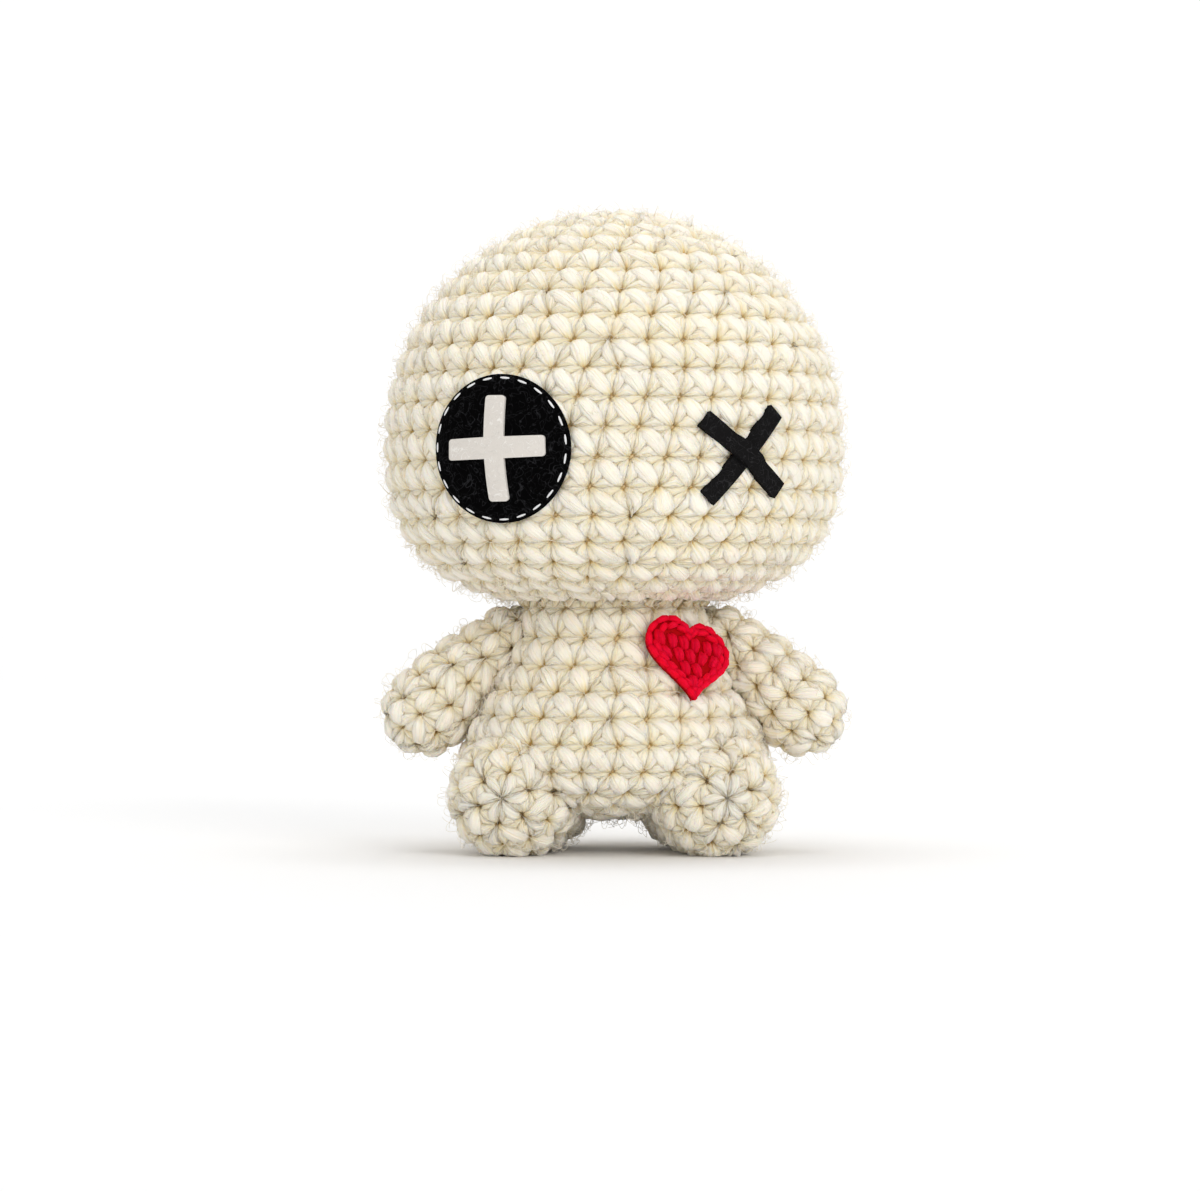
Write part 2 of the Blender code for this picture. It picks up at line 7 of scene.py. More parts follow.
import bmesh
import bpy
import numpy as np
from mathutils import Matrix, Vector
from mathutils.bvhtree import BVHTree


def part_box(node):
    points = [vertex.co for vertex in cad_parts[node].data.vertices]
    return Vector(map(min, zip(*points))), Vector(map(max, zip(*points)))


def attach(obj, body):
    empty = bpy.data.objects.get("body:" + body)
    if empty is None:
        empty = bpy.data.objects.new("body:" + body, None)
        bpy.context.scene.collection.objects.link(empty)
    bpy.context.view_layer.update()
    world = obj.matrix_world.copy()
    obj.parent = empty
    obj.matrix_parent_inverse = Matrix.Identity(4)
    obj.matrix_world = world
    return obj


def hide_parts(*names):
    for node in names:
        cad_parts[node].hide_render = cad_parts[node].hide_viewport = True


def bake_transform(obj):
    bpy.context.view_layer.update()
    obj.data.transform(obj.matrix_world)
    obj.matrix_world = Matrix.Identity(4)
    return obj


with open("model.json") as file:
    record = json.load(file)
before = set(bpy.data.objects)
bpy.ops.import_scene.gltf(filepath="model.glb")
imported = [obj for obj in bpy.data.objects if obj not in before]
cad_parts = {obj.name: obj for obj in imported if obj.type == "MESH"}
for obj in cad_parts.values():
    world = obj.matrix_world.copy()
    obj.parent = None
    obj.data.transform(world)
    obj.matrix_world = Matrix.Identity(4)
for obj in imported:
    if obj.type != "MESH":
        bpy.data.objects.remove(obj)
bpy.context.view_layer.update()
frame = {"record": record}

# Camera
# A long lens at the height of the doll's chest, square to its face. One pixel of a frame 1200 wide
# is 0.1175 mm at the doll.
MM = 0.001
VIEW_WIDTH = 141.0 * MM
VIEW_DISTANCE = 470.0 * MM
VIEW_MIDDLE = Vector((-1.65 * MM, 0.0, 29.9 * MM))

camera_data = bpy.data.cameras.new("camera")
camera_data.lens = camera_data.sensor_width * VIEW_DISTANCE / VIEW_WIDTH
camera_data.clip_start = 10.0 * MM
camera_data.clip_end = 10.0
camera = bpy.data.objects.new("camera", camera_data)
camera.location = VIEW_MIDDLE + Vector((0.0, -VIEW_DISTANCE, 0.0))
camera.rotation_euler = (math.radians(90.0), 0.0, 0.0)
bpy.context.scene.collection.objects.link(camera)
bpy.context.scene.camera = camera
bpy.context.scene.view_settings.view_transform = "Standard"

# Studio
# A white sweep that runs from the floor up behind the doll, in an even white surround. A large soft
# light stands to the right of the face and above it, a wide low one in front of it, a weak one over
# the head, and one more lights the sweep.
SWEEP_WIDTH = 3000.0 * MM
SWEEP_FRONT = 1500.0 * MM
SWEEP_BACK = 900.0 * MM
SWEEP_HEIGHT = 1500.0 * MM
SWEEP_BEND = 500.0 * MM
SWEEP_STEPS = 24


def verts_of(geometry):
    """The vertices among what a mesh operator made."""
    return [item for item in geometry if isinstance(item, bmesh.types.BMVert)]


def edges_of(geometry):
    """The edges among what a mesh operator made."""
    return [item for item in geometry if isinstance(item, bmesh.types.BMEdge)]


def finished(form):
    """Turns a form that is done into a mesh."""
    mesh = bpy.data.meshes.new("form")
    form.to_mesh(mesh)
    form.free()
    return mesh


sweep = bmesh.new()
front_left = sweep.verts.new((-SWEEP_WIDTH / 2, -SWEEP_FRONT, 0.0))
front_right = sweep.verts.new((SWEEP_WIDTH / 2, -SWEEP_FRONT, 0.0))
front_edge = sweep.edges.new((front_left, front_right))
level = bmesh.ops.extrude_edge_only(sweep, edges=[front_edge])["geom"]
bmesh.ops.translate(sweep, verts=verts_of(level), vec=(0.0, SWEEP_FRONT + SWEEP_BACK, 0.0))
bend = bmesh.ops.spin(
    sweep,
    geom=verts_of(level) + edges_of(level),
    cent=(0.0, SWEEP_BACK, SWEEP_BEND),
    axis=(1.0, 0.0, 0.0),
    angle=math.radians(90.0),
    steps=SWEEP_STEPS,
)["geom_last"]
rise = bmesh.ops.extrude_edge_only(sweep, edges=edges_of(bend))["geom"]
bmesh.ops.translate(sweep, verts=verts_of(rise), vec=(0.0, 0.0, SWEEP_HEIGHT))
bmesh.ops.recalc_face_normals(sweep, faces=sweep.faces)
sweep_mesh = finished(sweep)
sweep_mesh.shade_smooth()
studio_sweep = bpy.data.objects.new("studio_sweep", sweep_mesh)
bpy.context.scene.collection.objects.link(studio_sweep)
paper = bpy.data.materials.new("pale_paper")
paper.use_nodes = True
paper_surface = paper.node_tree.nodes["Principled BSDF"]
paper_surface.inputs["Base Color"].default_value = (0.86, 0.86, 0.86, 1.0)
paper_surface.inputs["Roughness"].default_value = 0.9
sweep_mesh.materials.append(paper)


def add_softbox(name, place, aim, size, power):
    """A square soft light at a place, turned to its aim. In metres, and its power in watts."""
    light = bpy.data.lights.new(name, "AREA")
    light.shape = "SQUARE"
    light.size = size
    light.energy = power
    softbox = bpy.data.objects.new(name, light)
    softbox.location = place
    softbox.rotation_euler = (Vector(aim) - Vector(place)).to_track_quat("-Z", "Y").to_euler()
    bpy.context.scene.collection.objects.link(softbox)


add_softbox("key_light", (0.55, -1.00, 0.50), VIEW_MIDDLE, 0.6, 4.6)
add_softbox("low_light", (-0.15, -1.10, 0.10), VIEW_MIDDLE, 0.8, 2.0)
add_softbox("top_light", (0.1, 0.25, 1.0), VIEW_MIDDLE, 0.5, 0.30)
add_softbox("sweep_light", (0.0, 0.25, 1.4), (0.0, 1.3, 0.45), 1.0, 9.0)
world = bpy.data.worlds.new("surround")
world.use_nodes = True
surround = world.node_tree.nodes["Background"]
surround.inputs["Color"].default_value = (1.0, 1.0, 1.0, 1.0)
surround.inputs["Strength"].default_value = 0.76
bpy.context.scene.world = world

# Head stuffing
# Loose fibre, packed tight through the neck until the cover is firm. It shows only in the holes
# between the stitches, coloured golden as painted shade, so it comes right up to the back of the yarn.
HEAD_LOW, HEAD_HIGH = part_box("head_cover")
HEAD_RADIUS = (HEAD_HIGH[0] - HEAD_LOW[0]) / 2
HEAD_EQUATOR = 48.2 * MM
HEAD_UPPER = HEAD_HIGH[2] - HEAD_EQUATOR
HEAD_LOWER = 19.5 * MM
HEAD_LOWER_FLATNESS = 2.8
OUTLINE_POINTS = 80
SHORTEST_STEP = 0.0001 * MM
MERGE_DISTANCE = 0.01 * MM
STUFFING_DEPTH = 0.95 * MM
STUFFING_RINGS = 40
STUFFING_STEPS = 72

joint_at = {joint["name"]: Vector(joint["pos_m"]) for joint in frame["record"]["behaviour"]["joints"]}
SET_BACK = joint_at["head_turn"].y
SEAT_HEIGHT = joint_at["head_turn"].z
SEAT_RADIUS = 12.5 * MM
SEAT_CLEARANCE = 0.4 * MM
upright = Matrix.Translation((0.0, SET_BACK, 0.0))


def quarter(radius, reach, centre, flatness=2.0):
    """Radii and heights of a quarter outline, from the pole at centre + reach out to the full radius."""
    angle = np.linspace(0.0, math.pi / 2, OUTLINE_POINTS)
    radii = radius * np.sin(angle) ** (2 / flatness)
    heights = centre + reach * np.abs(np.cos(angle)) ** (2 / flatness)
    return np.stack([radii, heights], axis=1)


def run_along(points):
    """How far along a flat line each of its points lies."""
    return np.concatenate([[0.0], np.cumsum(np.hypot(*np.diff(points, axis=0).T))])


def measured(points):
    """An outline with the run along it, and its outward normal, at every point."""
    points = points[np.diff(run_along(points), prepend=-1.0) > SHORTEST_STEP]
    run = run_along(points)
    along = np.gradient(points, run, axis=0)
    normal = np.stack([-along[:, 1], along[:, 0]], axis=1)
    normal /= np.linalg.norm(normal, axis=1)[:, None]
    return {"run": run, "point": points, "normal": normal}


def on_turned(outline, run, turn, lift):
    """Points on a turned surface: a run down its outline, a turn from the front, a lift off it."""
    radius = np.interp(run, outline["run"], outline["point"][:, 0])
    height = np.interp(run, outline["run"], outline["point"][:, 1])
    away = np.interp(run, outline["run"], outline["normal"][:, 0])
    up = np.interp(run, outline["run"], outline["normal"][:, 1])
    radius = radius + away * lift
    return np.stack([radius * np.sin(turn), -radius * np.cos(turn), height + up * lift], axis=-1)


def add_piece(name, mesh, body, material):
    """Names and links a mesh in its material, and lets it ride on its body, where it has just one."""
    mesh.name = name
    obj = bpy.data.objects.new(name, mesh)
    bpy.context.scene.collection.objects.link(obj)
    mesh.materials.append(material)
    mesh.shade_smooth()
    if body:
        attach(obj, body)
    return obj


def turned_form(profile, steps):
    """A closed form turned about the upright axis from the points of a profile."""
    form = bmesh.new()
    corners = [form.verts.new(point) for point in profile]
    edges = [form.edges.new(pair) for pair in zip(corners, corners[1:])]
    bmesh.ops.spin(
        form,
        geom=corners + edges,
        cent=(0.0, 0.0, 0.0),
        axis=(0.0, 0.0, 1.0),
        angle=math.radians(360.0),
        steps=steps,
        use_merge=True,
    )
    bmesh.ops.remove_doubles(form, verts=form.verts, dist=MERGE_DISTANCE)
    open_edges = [edge for edge in form.edges if edge.is_boundary]
    bmesh.ops.holes_fill(form, edges=open_edges)
    bmesh.ops.recalc_face_normals(form, faces=form.faces)
    return form


def stuffing_mesh(outline, depth, place, last):
    """A closed turned form some way inside an outline, down to its last run."""
    runs = np.linspace(0.0, last, STUFFING_RINGS)
    profile = on_turned(outline, runs, np.full(STUFFING_RINGS, math.pi / 2), -depth)
    fill = turned_form([(max(across, 0.0), 0.0, up) for across, _, up in profile], STUFFING_STEPS)
    bmesh.ops.transform(fill, matrix=place, verts=fill.verts)
    return finished(fill)


class Wire:
    """A shader socket that adds Math nodes through Python's operators."""

    def __init__(self, nodes, socket):
        self.nodes = nodes
        self.socket = socket

    def math(self, operation, first, second):
        return self.nodes.add("ShaderNodeMath", {"operation": operation}, {0: first, 1: second})

    def __add__(self, other):
        return self.math("ADD", self, other)

    def __radd__(self, other):
        return self.math("ADD", other, self)

    def __sub__(self, other):
        return self.math("SUBTRACT", self, other)

    def __mul__(self, other):
        return self.math("MULTIPLY", self, other)

    def __truediv__(self, other):
        return self.math("DIVIDE", self, other)


class Finish:
    """A material and the one way its nodes are made."""

    def __init__(self, name, roughness, sheen=0.0):
        self.material = bpy.data.materials.new(name)
        self.material.use_nodes = True
        self.tree = self.material.node_tree
        self.surface = self.tree.nodes["Principled BSDF"]
        self.surface.inputs["Roughness"].default_value = roughness
        self.surface.inputs["Specular IOR Level"].default_value = 0.3
        self.surface.inputs["Sheen Weight"].default_value = sheen
        self.surface.inputs["Sheen Roughness"].default_value = 0.5

    def add(self, kind, settings, sockets, output=0):
        node = self.tree.nodes.new(kind)
        for key, value in settings.items():
            if key == "stops":
                self.set_stops(node.color_ramp, value)
            else:
                setattr(node, key, value)
        for key, value in sockets.items():
            if isinstance(value, Wire):
                self.tree.links.new(value.socket, node.inputs[key])
            else:
                node.inputs[key].default_value = value
        return Wire(self, node.outputs[output])

    def set_stops(self, ramp, stops):
        while len(ramp.elements) < len(stops):
            ramp.elements.new(0.5)
        for element, (position, colour) in zip(ramp.elements, stops):
            element.position = position
            element.color = colour

    def place(self):
        return self.add("ShaderNodeTexCoord", {}, {}, "Object")

    def attribute(self, name, output="Fac"):
        return self.add("ShaderNodeAttribute", {"attribute_name": name}, {}, output)

    def noise(self, place, scale, **sockets):
        return self.add("ShaderNodeTexNoise", {}, {"Vector": place, "Scale": scale, **sockets}, "Fac")

    def ramp(self, value, stops):
        return self.add("ShaderNodeValToRGB", {"stops": stops}, {"Fac": value})

    def wire_in(self, socket, value):
        self.tree.links.new(value.socket, self.surface.inputs[socket])

    def wire_bump(self, strength, distance, height):
        sockets = {"Strength": strength, "Distance": distance, "Height": height}
        self.wire_in("Normal", self.add("ShaderNodeBump", {}, sockets))


# Painted shade: the fill's golden colours are painted shade and a painted glow of light through the yarn.
fibre_fill = Finish("golden_painted_hole_shade", 0.95)
fibre_fill.wire_in("Base Color", fibre_fill.ramp(
    fibre_fill.noise(fibre_fill.place(), 900.0),
    [(0.3, (0.62, 0.47, 0.23, 1.0)), (0.7, (0.80, 0.64, 0.37, 1.0))],
))

head_outline = measured(np.concatenate([
    quarter(HEAD_RADIUS, HEAD_UPPER, HEAD_EQUATOR),
    quarter(HEAD_RADIUS, -HEAD_LOWER, HEAD_EQUATOR, HEAD_LOWER_FLATNESS)[::-1],
]))
from_seat = np.hypot(head_outline["point"][:, 0], head_outline["point"][:, 1] - SEAT_HEIGHT)
outside_seat = from_seat > SEAT_RADIUS + SEAT_CLEARANCE
head_rim_run = head_outline["run"][outside_seat][-1]


def add_filling(part, mesh, body=None):
    """The filling of one stuffed part, in place of its solid."""
    filling = add_piece(f"{part}_fibre_fill", mesh, body, fibre_fill.material)
    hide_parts(f"{part}_stuffing")
    return filling


add_filling("head", stuffing_mesh(head_outline, STUFFING_DEPTH, upright, head_rim_run), "head")

# Head cover
# Medium cream yarn worked in single crochet, in one spiral from a ring at the crown. Each stitch is
# a fat slanting strand with smaller loops beside it, and all of them dive into the holes between.
STITCH_WIDTH = 4.1 * MM
ROW_HEIGHT = 3.45 * MM
ROW_SHIFT_SHARE = 0.217
FEWEST_STITCHES = 6
HEAD_SEED = 3
YARN_DEPTH = 0.5 * MM
MOST_BURIED = 1.4 * MM
SWELL_SPREAD = 0.05
SWAY_SPREAD = 0.04
YARN_TWIST = math.radians(35.0)

# Each strand's stations: share across the stitch and share down the row, then lift, half width and
# half height in millimetres
SLANT = (
    (0.02, 0.04, -1.50, 0.24, 0.26),
    (0.11, 0.11, -0.84, 0.54, 0.46),
    (0.30, 0.26, -0.38, 0.88, 0.66),
    (0.53, 0.47, -0.26, 0.96, 0.70),
    (0.75, 0.69, -0.36, 0.88, 0.66),
    (0.90, 0.87, -0.84, 0.54, 0.46),
    (0.98, 0.97, -1.50, 0.24, 0.26),
)
SIDE_LOOPS = (
    (
        (0.97, 0.04, -1.40, 0.24, 0.26),
        (0.89, 0.16, -0.74, 0.62, 0.48),
        (0.82, 0.32, -0.46, 0.92, 0.60),
        (0.87, 0.58, -0.54, 0.72, 0.54),
        (0.98, 0.90, -1.05, 0.34, 0.34),
    ),
    (
        (0.02, 0.10, -1.10, 0.34, 0.34),
        (0.11, 0.28, -0.60, 0.74, 0.54),
        (0.18, 0.51, -0.46, 0.94, 0.62),
        (0.14, 0.74, -0.62, 0.66, 0.50),
        (0.03, 0.95, -1.40, 0.24, 0.26),
    ),
)
CROSS_LOOPS = (
    (
        (0.05, 0.97, -1.40, 0.24, 0.26),
        (0.22, 0.87, -0.72, 0.66, 0.50),
        (0.42, 0.78, -0.50, 0.92, 0.62),
        (0.65, 0.86, -0.60, 0.70, 0.54),
        (0.84, 0.98, -1.05, 0.34, 0.32),
    ),
    (
        (0.10, 0.01, -1.10, 0.30, 0.32),
        (0.34, 0.05, -0.70, 0.64, 0.52),
        (0.60, 0.09, -0.60, 0.78, 0.56),
        (0.84, 0.04, -0.80, 0.58, 0.48),
        (0.95, 0.00, -1.15, 0.30, 0.30),
    ),
)


def plain_strand(sides, stations):
    """A closed straight strand of radius one, whose height counts its stations."""
    strand = bmesh.new()
    bmesh.ops.create_circle(strand, cap_ends=True, radius=1.0, segments=sides)
    edges = list(strand.edges)
    for _ in range(stations - 1):
        pushed = bmesh.ops.extrude_edge_only(strand, edges=edges)["geom"]
        ring = verts_of(pushed)
        edges = [edge for edge in edges_of(pushed) if set(ring).issuperset(edge.verts)]
        bmesh.ops.translate(strand, verts=ring, vec=(0.0, 0.0, 1.0))
    bmesh.ops.edgeloop_fill(strand, edges=edges)
    bmesh.ops.recalc_face_normals(strand, faces=strand.faces)
    return finished(strand)


def repeated(unit, count):
    """A mesh that holds another many times over."""
    many = bmesh.new()
    for _ in range(count):
        many.from_mesh(unit)
    return finished(many)


def coordinates(mesh):
    """A mesh's points as an array."""
    flat = np.empty(len(mesh.vertices) * 3)
    mesh.vertices.foreach_get("co", flat)
    return flat.reshape(-1, 3)


def unit_vectors(vectors):
    return vectors / np.linalg.norm(vectors, axis=-1, keepdims=True)


def strands(centres, facing, half_widths, half_heights, sides=6):
    """Strands of yarn, each along its own row of centres, with its fibres as an attribute."""
    count, stations, _ = centres.shape
    plain = plain_strand(sides, stations)
    across, up, station = coordinates(plain).T
    station = np.rint(station).astype(int)
    forward = np.gradient(centres, axis=1)
    side = unit_vectors(np.cross(facing, forward))
    above = unit_vectors(np.cross(forward, side))
    wide = np.broadcast_to(half_widths, (count, stations))[:, station] * across
    high = np.broadcast_to(half_heights, (count, stations))[:, station] * up
    points = (
        centres[:, station] + side[:, station] * wide[..., None] + above[:, station] * high[..., None]
    )
    mesh = repeated(plain, count)
    mesh.vertices.foreach_set("co", points.ravel())
    share = station / (stations - 1)
    twist = share * YARN_TWIST
    twisted_across = across * np.cos(twist) - up * np.sin(twist)
    twisted_up = across * np.sin(twist) + up * np.cos(twist)
    fibre = np.stack([twisted_across, twisted_up, share], axis=1)
    layer = mesh.attributes.new("fibre", "FLOAT_VECTOR", "POINT")
    layer.data.foreach_set("vector", np.tile(fibre.ravel(), count))
    mesh.update()
    return mesh


def unit_stitch():
    """One stitch in a cell one across, one down and in metres out."""
    out = np.array((0.0, 0.0, 1.0))
    cell = np.array((STITCH_WIDTH, ROW_HEIGHT, MM))
    unit = bmesh.new()
    for loops, sides in (([SLANT], 8), (SIDE_LOOPS, 6), (CROSS_LOOPS, 5)):
        stations = np.array(loops)
        half_widths = stations[..., 3] * MM
        half_heights = stations[..., 4] * MM
        unit.from_mesh(strands(stations[..., :3] * cell, out, half_widths, half_heights, sides))
    bmesh.ops.scale(unit, vec=(1 / STITCH_WIDTH, 1 / ROW_HEIGHT, 1.0), verts=unit.verts)
    # Across, down and out make a left-handed frame, so the faces turn round.
    bmesh.ops.reverse_faces(unit, faces=unit.faces)
    return finished(unit)


stitch = unit_stitch()


def worked_cells(outline, first, last, width, count_step, seed):
    """Every stitch cell between two runs of an outline: four hole angles, top run and row height."""
    dice = random.Random(seed)
    rows = max(1, round((last - first) / ROW_HEIGHT))
    runs = [first + ROW_HEIGHT * row for row in range(rows)] + [last]
    around = 2 * math.pi * np.interp(runs, outline["run"], outline["point"][:, 0])
    counts = [max(FEWEST_STITCHES, count_step * round(length / width / count_step)) for length in around]
    cells = []
    start = 0.0
    for row in range(rows):
        above, below = counts[row], counts[row + 1]
        most = max(above, below)
        worked = np.arange(most + 1) + dice.random()
        upper = 2 * math.pi / above * np.floor(worked * above / most)
        lower = 2 * math.pi / below * np.floor(worked * below / most)
        lean = (upper - lower)[:most].mean() - ROW_SHIFT_SHARE * 2 * math.pi / below
        for cell in range(most):
            corners = (upper[cell], upper[cell + 1], lower[cell] + lean, lower[cell + 1] + lean)
            cells.append([start + corner for corner in corners] + [runs[row], runs[row + 1] - runs[row]])
        start += lean
    return np.array(cells)


def from_place(points, place):
    """Points given in a place's own axes, out in the world."""
    matrix = np.array(place)
    return points @ matrix[:3, :3].T + matrix[:3, 3]


def in_place(points, place):
    """The world's points, in a place's own axes."""
    matrix = np.array(place)
    return (points - matrix[:3, 3]) @ matrix[:3, :3]


def height_off(points, outline, place):
    """How far points stand off a turned surface, and the way out from it at each of them."""
    local = in_place(points, place)
    radius = np.hypot(local[:, 0], local[:, 1])
    flat = np.stack([radius, local[:, 2]], axis=1)
    nearest = ((flat[:, None, :] - outline["point"][None, :, :]) ** 2).sum(axis=2).argmin(axis=1)
    normal = outline["normal"][nearest]
    height = ((flat - outline["point"][nearest]) * normal).sum(axis=1)
    away = local[:, :2] / np.maximum(radius, MERGE_DISTANCE)[:, None]
    way_out = np.column_stack([away * normal[:, :1], normal[:, 1]])
    return height, way_out @ np.array(place)[:3, :3].T


def pressed_clear(points, clear_of, floor):
    """Points pushed out to the yarn of their neighbours, and up to the floor that they stand on."""
    for outline, place in clear_of:
        height, way_out = height_off(points, outline, place)
        points = points + way_out * np.clip(-YARN_DEPTH - height, 0.0, None)[:, None]
    if floor is not None:
        points[:, 2] = np.maximum(points[:, 2], floor)
    return points


def crocheted(outline, first, last, place, seed, width=STITCH_WIDTH, count_step=1, clear_of=(), floor=None):
    """A mesh of stitches bent onto a turned surface, with their depth and tone as attributes."""
    cells = worked_cells(outline, first, last, width, count_step, seed)
    for neighbour in clear_of:
        middles = on_turned(outline, cells[:, 4] + cells[:, 5] / 2, cells[:, :4].mean(axis=1), 0.0)
        height, _ = height_off(from_place(middles, place), *neighbour)
        cells = cells[height > -MOST_BURIED]
    mesh = repeated(stitch, len(cells))
    across, down, out = coordinates(stitch).T[:, None, :]
    dice = np.random.default_rng(seed)
    swell = dice.normal(1.0, SWELL_SPREAD, (len(cells), 1))
    sway = dice.normal(0.0, SWAY_SPREAD, (len(cells), 2))
    inside = np.sin(np.clip(down, 0, 1) * math.pi) * np.sin(np.clip(across, 0, 1) * math.pi)
    across = across + sway[:, :1] * inside
    down = down + sway[:, 1:] * inside
    top_left, top_right, low_left, low_right, top_run, pitch = cells.T[:, :, None]
    top_turn = top_left + (top_right - top_left) * across
    low_turn = low_left + (low_right - low_left) * across
    turn = top_turn + (low_turn - top_turn) * down
    run = top_run + pitch * down
    points = from_place(on_turned(outline, run, turn, out * swell).reshape(-1, 3), place)
    points = pressed_clear(points, clear_of, floor)
    mesh.vertices.foreach_set("co", points.ravel())
    mark(mesh, "depth", np.tile(out.ravel() / MM, len(cells)))
    mark(mesh, "tone", np.repeat(dice.random(len(cells)), len(stitch.vertices)))
    mesh.update()
    return mesh


def mark(mesh, name, values):
    """Gives each point of a mesh a number that its material reads, or all of them the same one."""
    attribute = mesh.attributes.new(name, "FLOAT", "POINT")
    attribute.data.foreach_set("value", np.full(len(mesh.vertices), values))


# How strongly the fibre lines, the painted shade at the strand ends and each stitch's random tone move the
# colour.
LINE_CONTRAST = 0.9
END_PAINTED_SHADE = 0.3
TONE_CONTRAST = 0.08
# The painted shade starts this many millimetres down in a hole, and runs over this many.
DEEPEST_SHADED = 1.3
SHADED_RANGE = 2.0


def yarn_finish(name, painted_hole_shade, middle, pale, roughness, sheen=0.25, shine=0.3):
    """Twisted yarn: fine fibres along each strand, with painted shade down in the holes."""
    yarn = Finish(name, roughness, sheen)
    yarn.surface.inputs["Subsurface Weight"].default_value = 0.35
    yarn.surface.inputs["Subsurface Radius"].default_value = (1.0, 0.7, 0.4)
    yarn.surface.inputs["Subsurface Scale"].default_value = 0.7 * MM
    yarn.surface.inputs["Specular IOR Level"].default_value = shine
    fibre = yarn.attribute("fibre", "Vector")
    tone = yarn.attribute("tone")
    depth = yarn.attribute("depth")
    drawn = yarn.add("ShaderNodeMapping", {}, {"Vector": fibre, "Scale": (3.0, 3.0, 0.5)})
    # Each stitch reads the noise at a place of its own.
    moved = yarn.add("ShaderNodeCombineXYZ", {}, {"X": tone * 31.0, "Y": tone * 17.0, "Z": tone * 7.0})
    read_at = yarn.add("ShaderNodeVectorMath", {"operation": "ADD"}, {0: drawn, 1: moved})
    lines = yarn.noise(read_at, 1.4, Detail=3.0, Roughness=0.5)
    share = yarn.add("ShaderNodeSeparateXYZ", {}, {"Vector": fibre}, "Z")
    from_middle = (share * 2.0 - 1.0) * (share * 2.0 - 1.0)
    # Painted shade and light: the colour runs from the shade colour deep in the holes up to the pale yarn
    # colour on top, darkens towards the strand ends at the holes, and the fibre lines paint it lighter on
    # their ridges and darker in their grooves.
    shade = (depth + DEEPEST_SHADED) / SHADED_RANGE + (lines - 0.5) * LINE_CONTRAST
    shade = shade - from_middle * from_middle * END_PAINTED_SHADE + (tone - 0.5) * TONE_CONTRAST
    yarn.wire_in("Base Color", yarn.ramp(shade, [(0.0, painted_hole_shade), (0.36, middle), (0.78, pale)]))
    yarn.wire_bump(0.9, 0.4 * MM, lines)
    return yarn.material


# The first colour is painted shade, for deep in the holes.
cream_yarn = yarn_finish(
    "cream_yarn",
    (0.74, 0.45, 0.11, 1.0),
    (0.92, 0.76, 0.475, 1.0),
    (0.95, 0.875, 0.755, 1.0),
    0.55,
)


def add_cover(part, mesh, body=None):
    """The crocheted cover of one stuffed part, in place of its solid."""
    cover = add_piece(f"{part}_crochet", mesh, body, cream_yarn)
    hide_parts(f"{part}_cover")
    return cover


head_mesh = crocheted(head_outline, 0.0, head_rim_run, upright, HEAD_SEED, count_step=FEWEST_STITCHES)
add_cover("head", head_mesh, "head")

# Body
# A pear-shaped bag of the same cream stitches, stuffed firm and closed underneath. Its top row is
# sewn to the open neck of the head.
BODY_LOW, BODY_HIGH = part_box("body_cover")
BODY_RADIUS = (BODY_HIGH[0] - BODY_LOW[0]) / 2
BODY_WIDEST = 11.5 * MM
BODY_LOWER_FLATNESS = 2.4
NECK_HEIGHT = 28.6 * MM
DOME_TOP_RADIUS = 8.0 * MM
DOME_POINTS = 12
BODY_SEED = 11
BODY_SIDE = np.array([(11.1, 26.5), (11.5, 24.4), (13.8, 20.5), (16.3, 16.5), (17.75, 13.3)]) * MM
EASED_STEP = 0.25 * MM
EASED_POINTS = 9


def eased(points):
    """An outline resampled at even steps, with its corners rounded."""
    run = run_along(points)
    even = np.linspace(0.0, run[-1], round(run[-1] / EASED_STEP))
    resampled = np.stack([np.interp(even, run, column) for column in points.T], axis=1)
    half = EASED_POINTS // 2
    windows = np.lib.stride_tricks.sliding_window_view(resampled, EASED_POINTS, axis=0)
    resampled[half:-half] = windows.mean(axis=2)
    return measured(resampled)


dome_high = math.acos(DOME_TOP_RADIUS / SEAT_RADIUS)
dome_low = math.asin((NECK_HEIGHT - SEAT_HEIGHT) / SEAT_RADIUS)
dome_rise = np.linspace(dome_high, dome_low, DOME_POINTS)
body_outline = eased(np.concatenate([
    np.stack([SEAT_RADIUS * np.cos(dome_rise), SEAT_HEIGHT + SEAT_RADIUS * np.sin(dome_rise)], axis=1),
    BODY_SIDE,
    quarter(BODY_RADIUS, BODY_LOW[2] - BODY_WIDEST, BODY_WIDEST, BODY_LOWER_FLATNESS)[::-1],
]))
neck_run = SEAT_RADIUS * (dome_high - dome_low)
body_end = body_outline["run"][-1]
top_run = neck_run - ROW_HEIGHT
body_mesh = crocheted(body_outline, top_run, body_end, upright, BODY_SEED, count_step=FEWEST_STITCHES)
add_filling("body", stuffing_mesh(body_outline, STUFFING_DEPTH, upright, body_end), "torso")
add_cover("body", body_mesh, "torso")

# Neck seam
# Whip stitches in the same cream yarn, drawn tight round the neck. They close the join between the
# body and the head, and turn with the head.
SEAM_STITCHES = 36
SEAM_LOW = 28.8 * MM
SEAM_HIGH = 30.0 * MM
SEAM_RADIUS = 10.6 * MM
SEAM_BULGE = 0.4 * MM
SEAM_LEAN = math.radians(6.0)
SEAM_HALF_WIDTH = 0.40 * MM
SEAM_STATIONS = 6

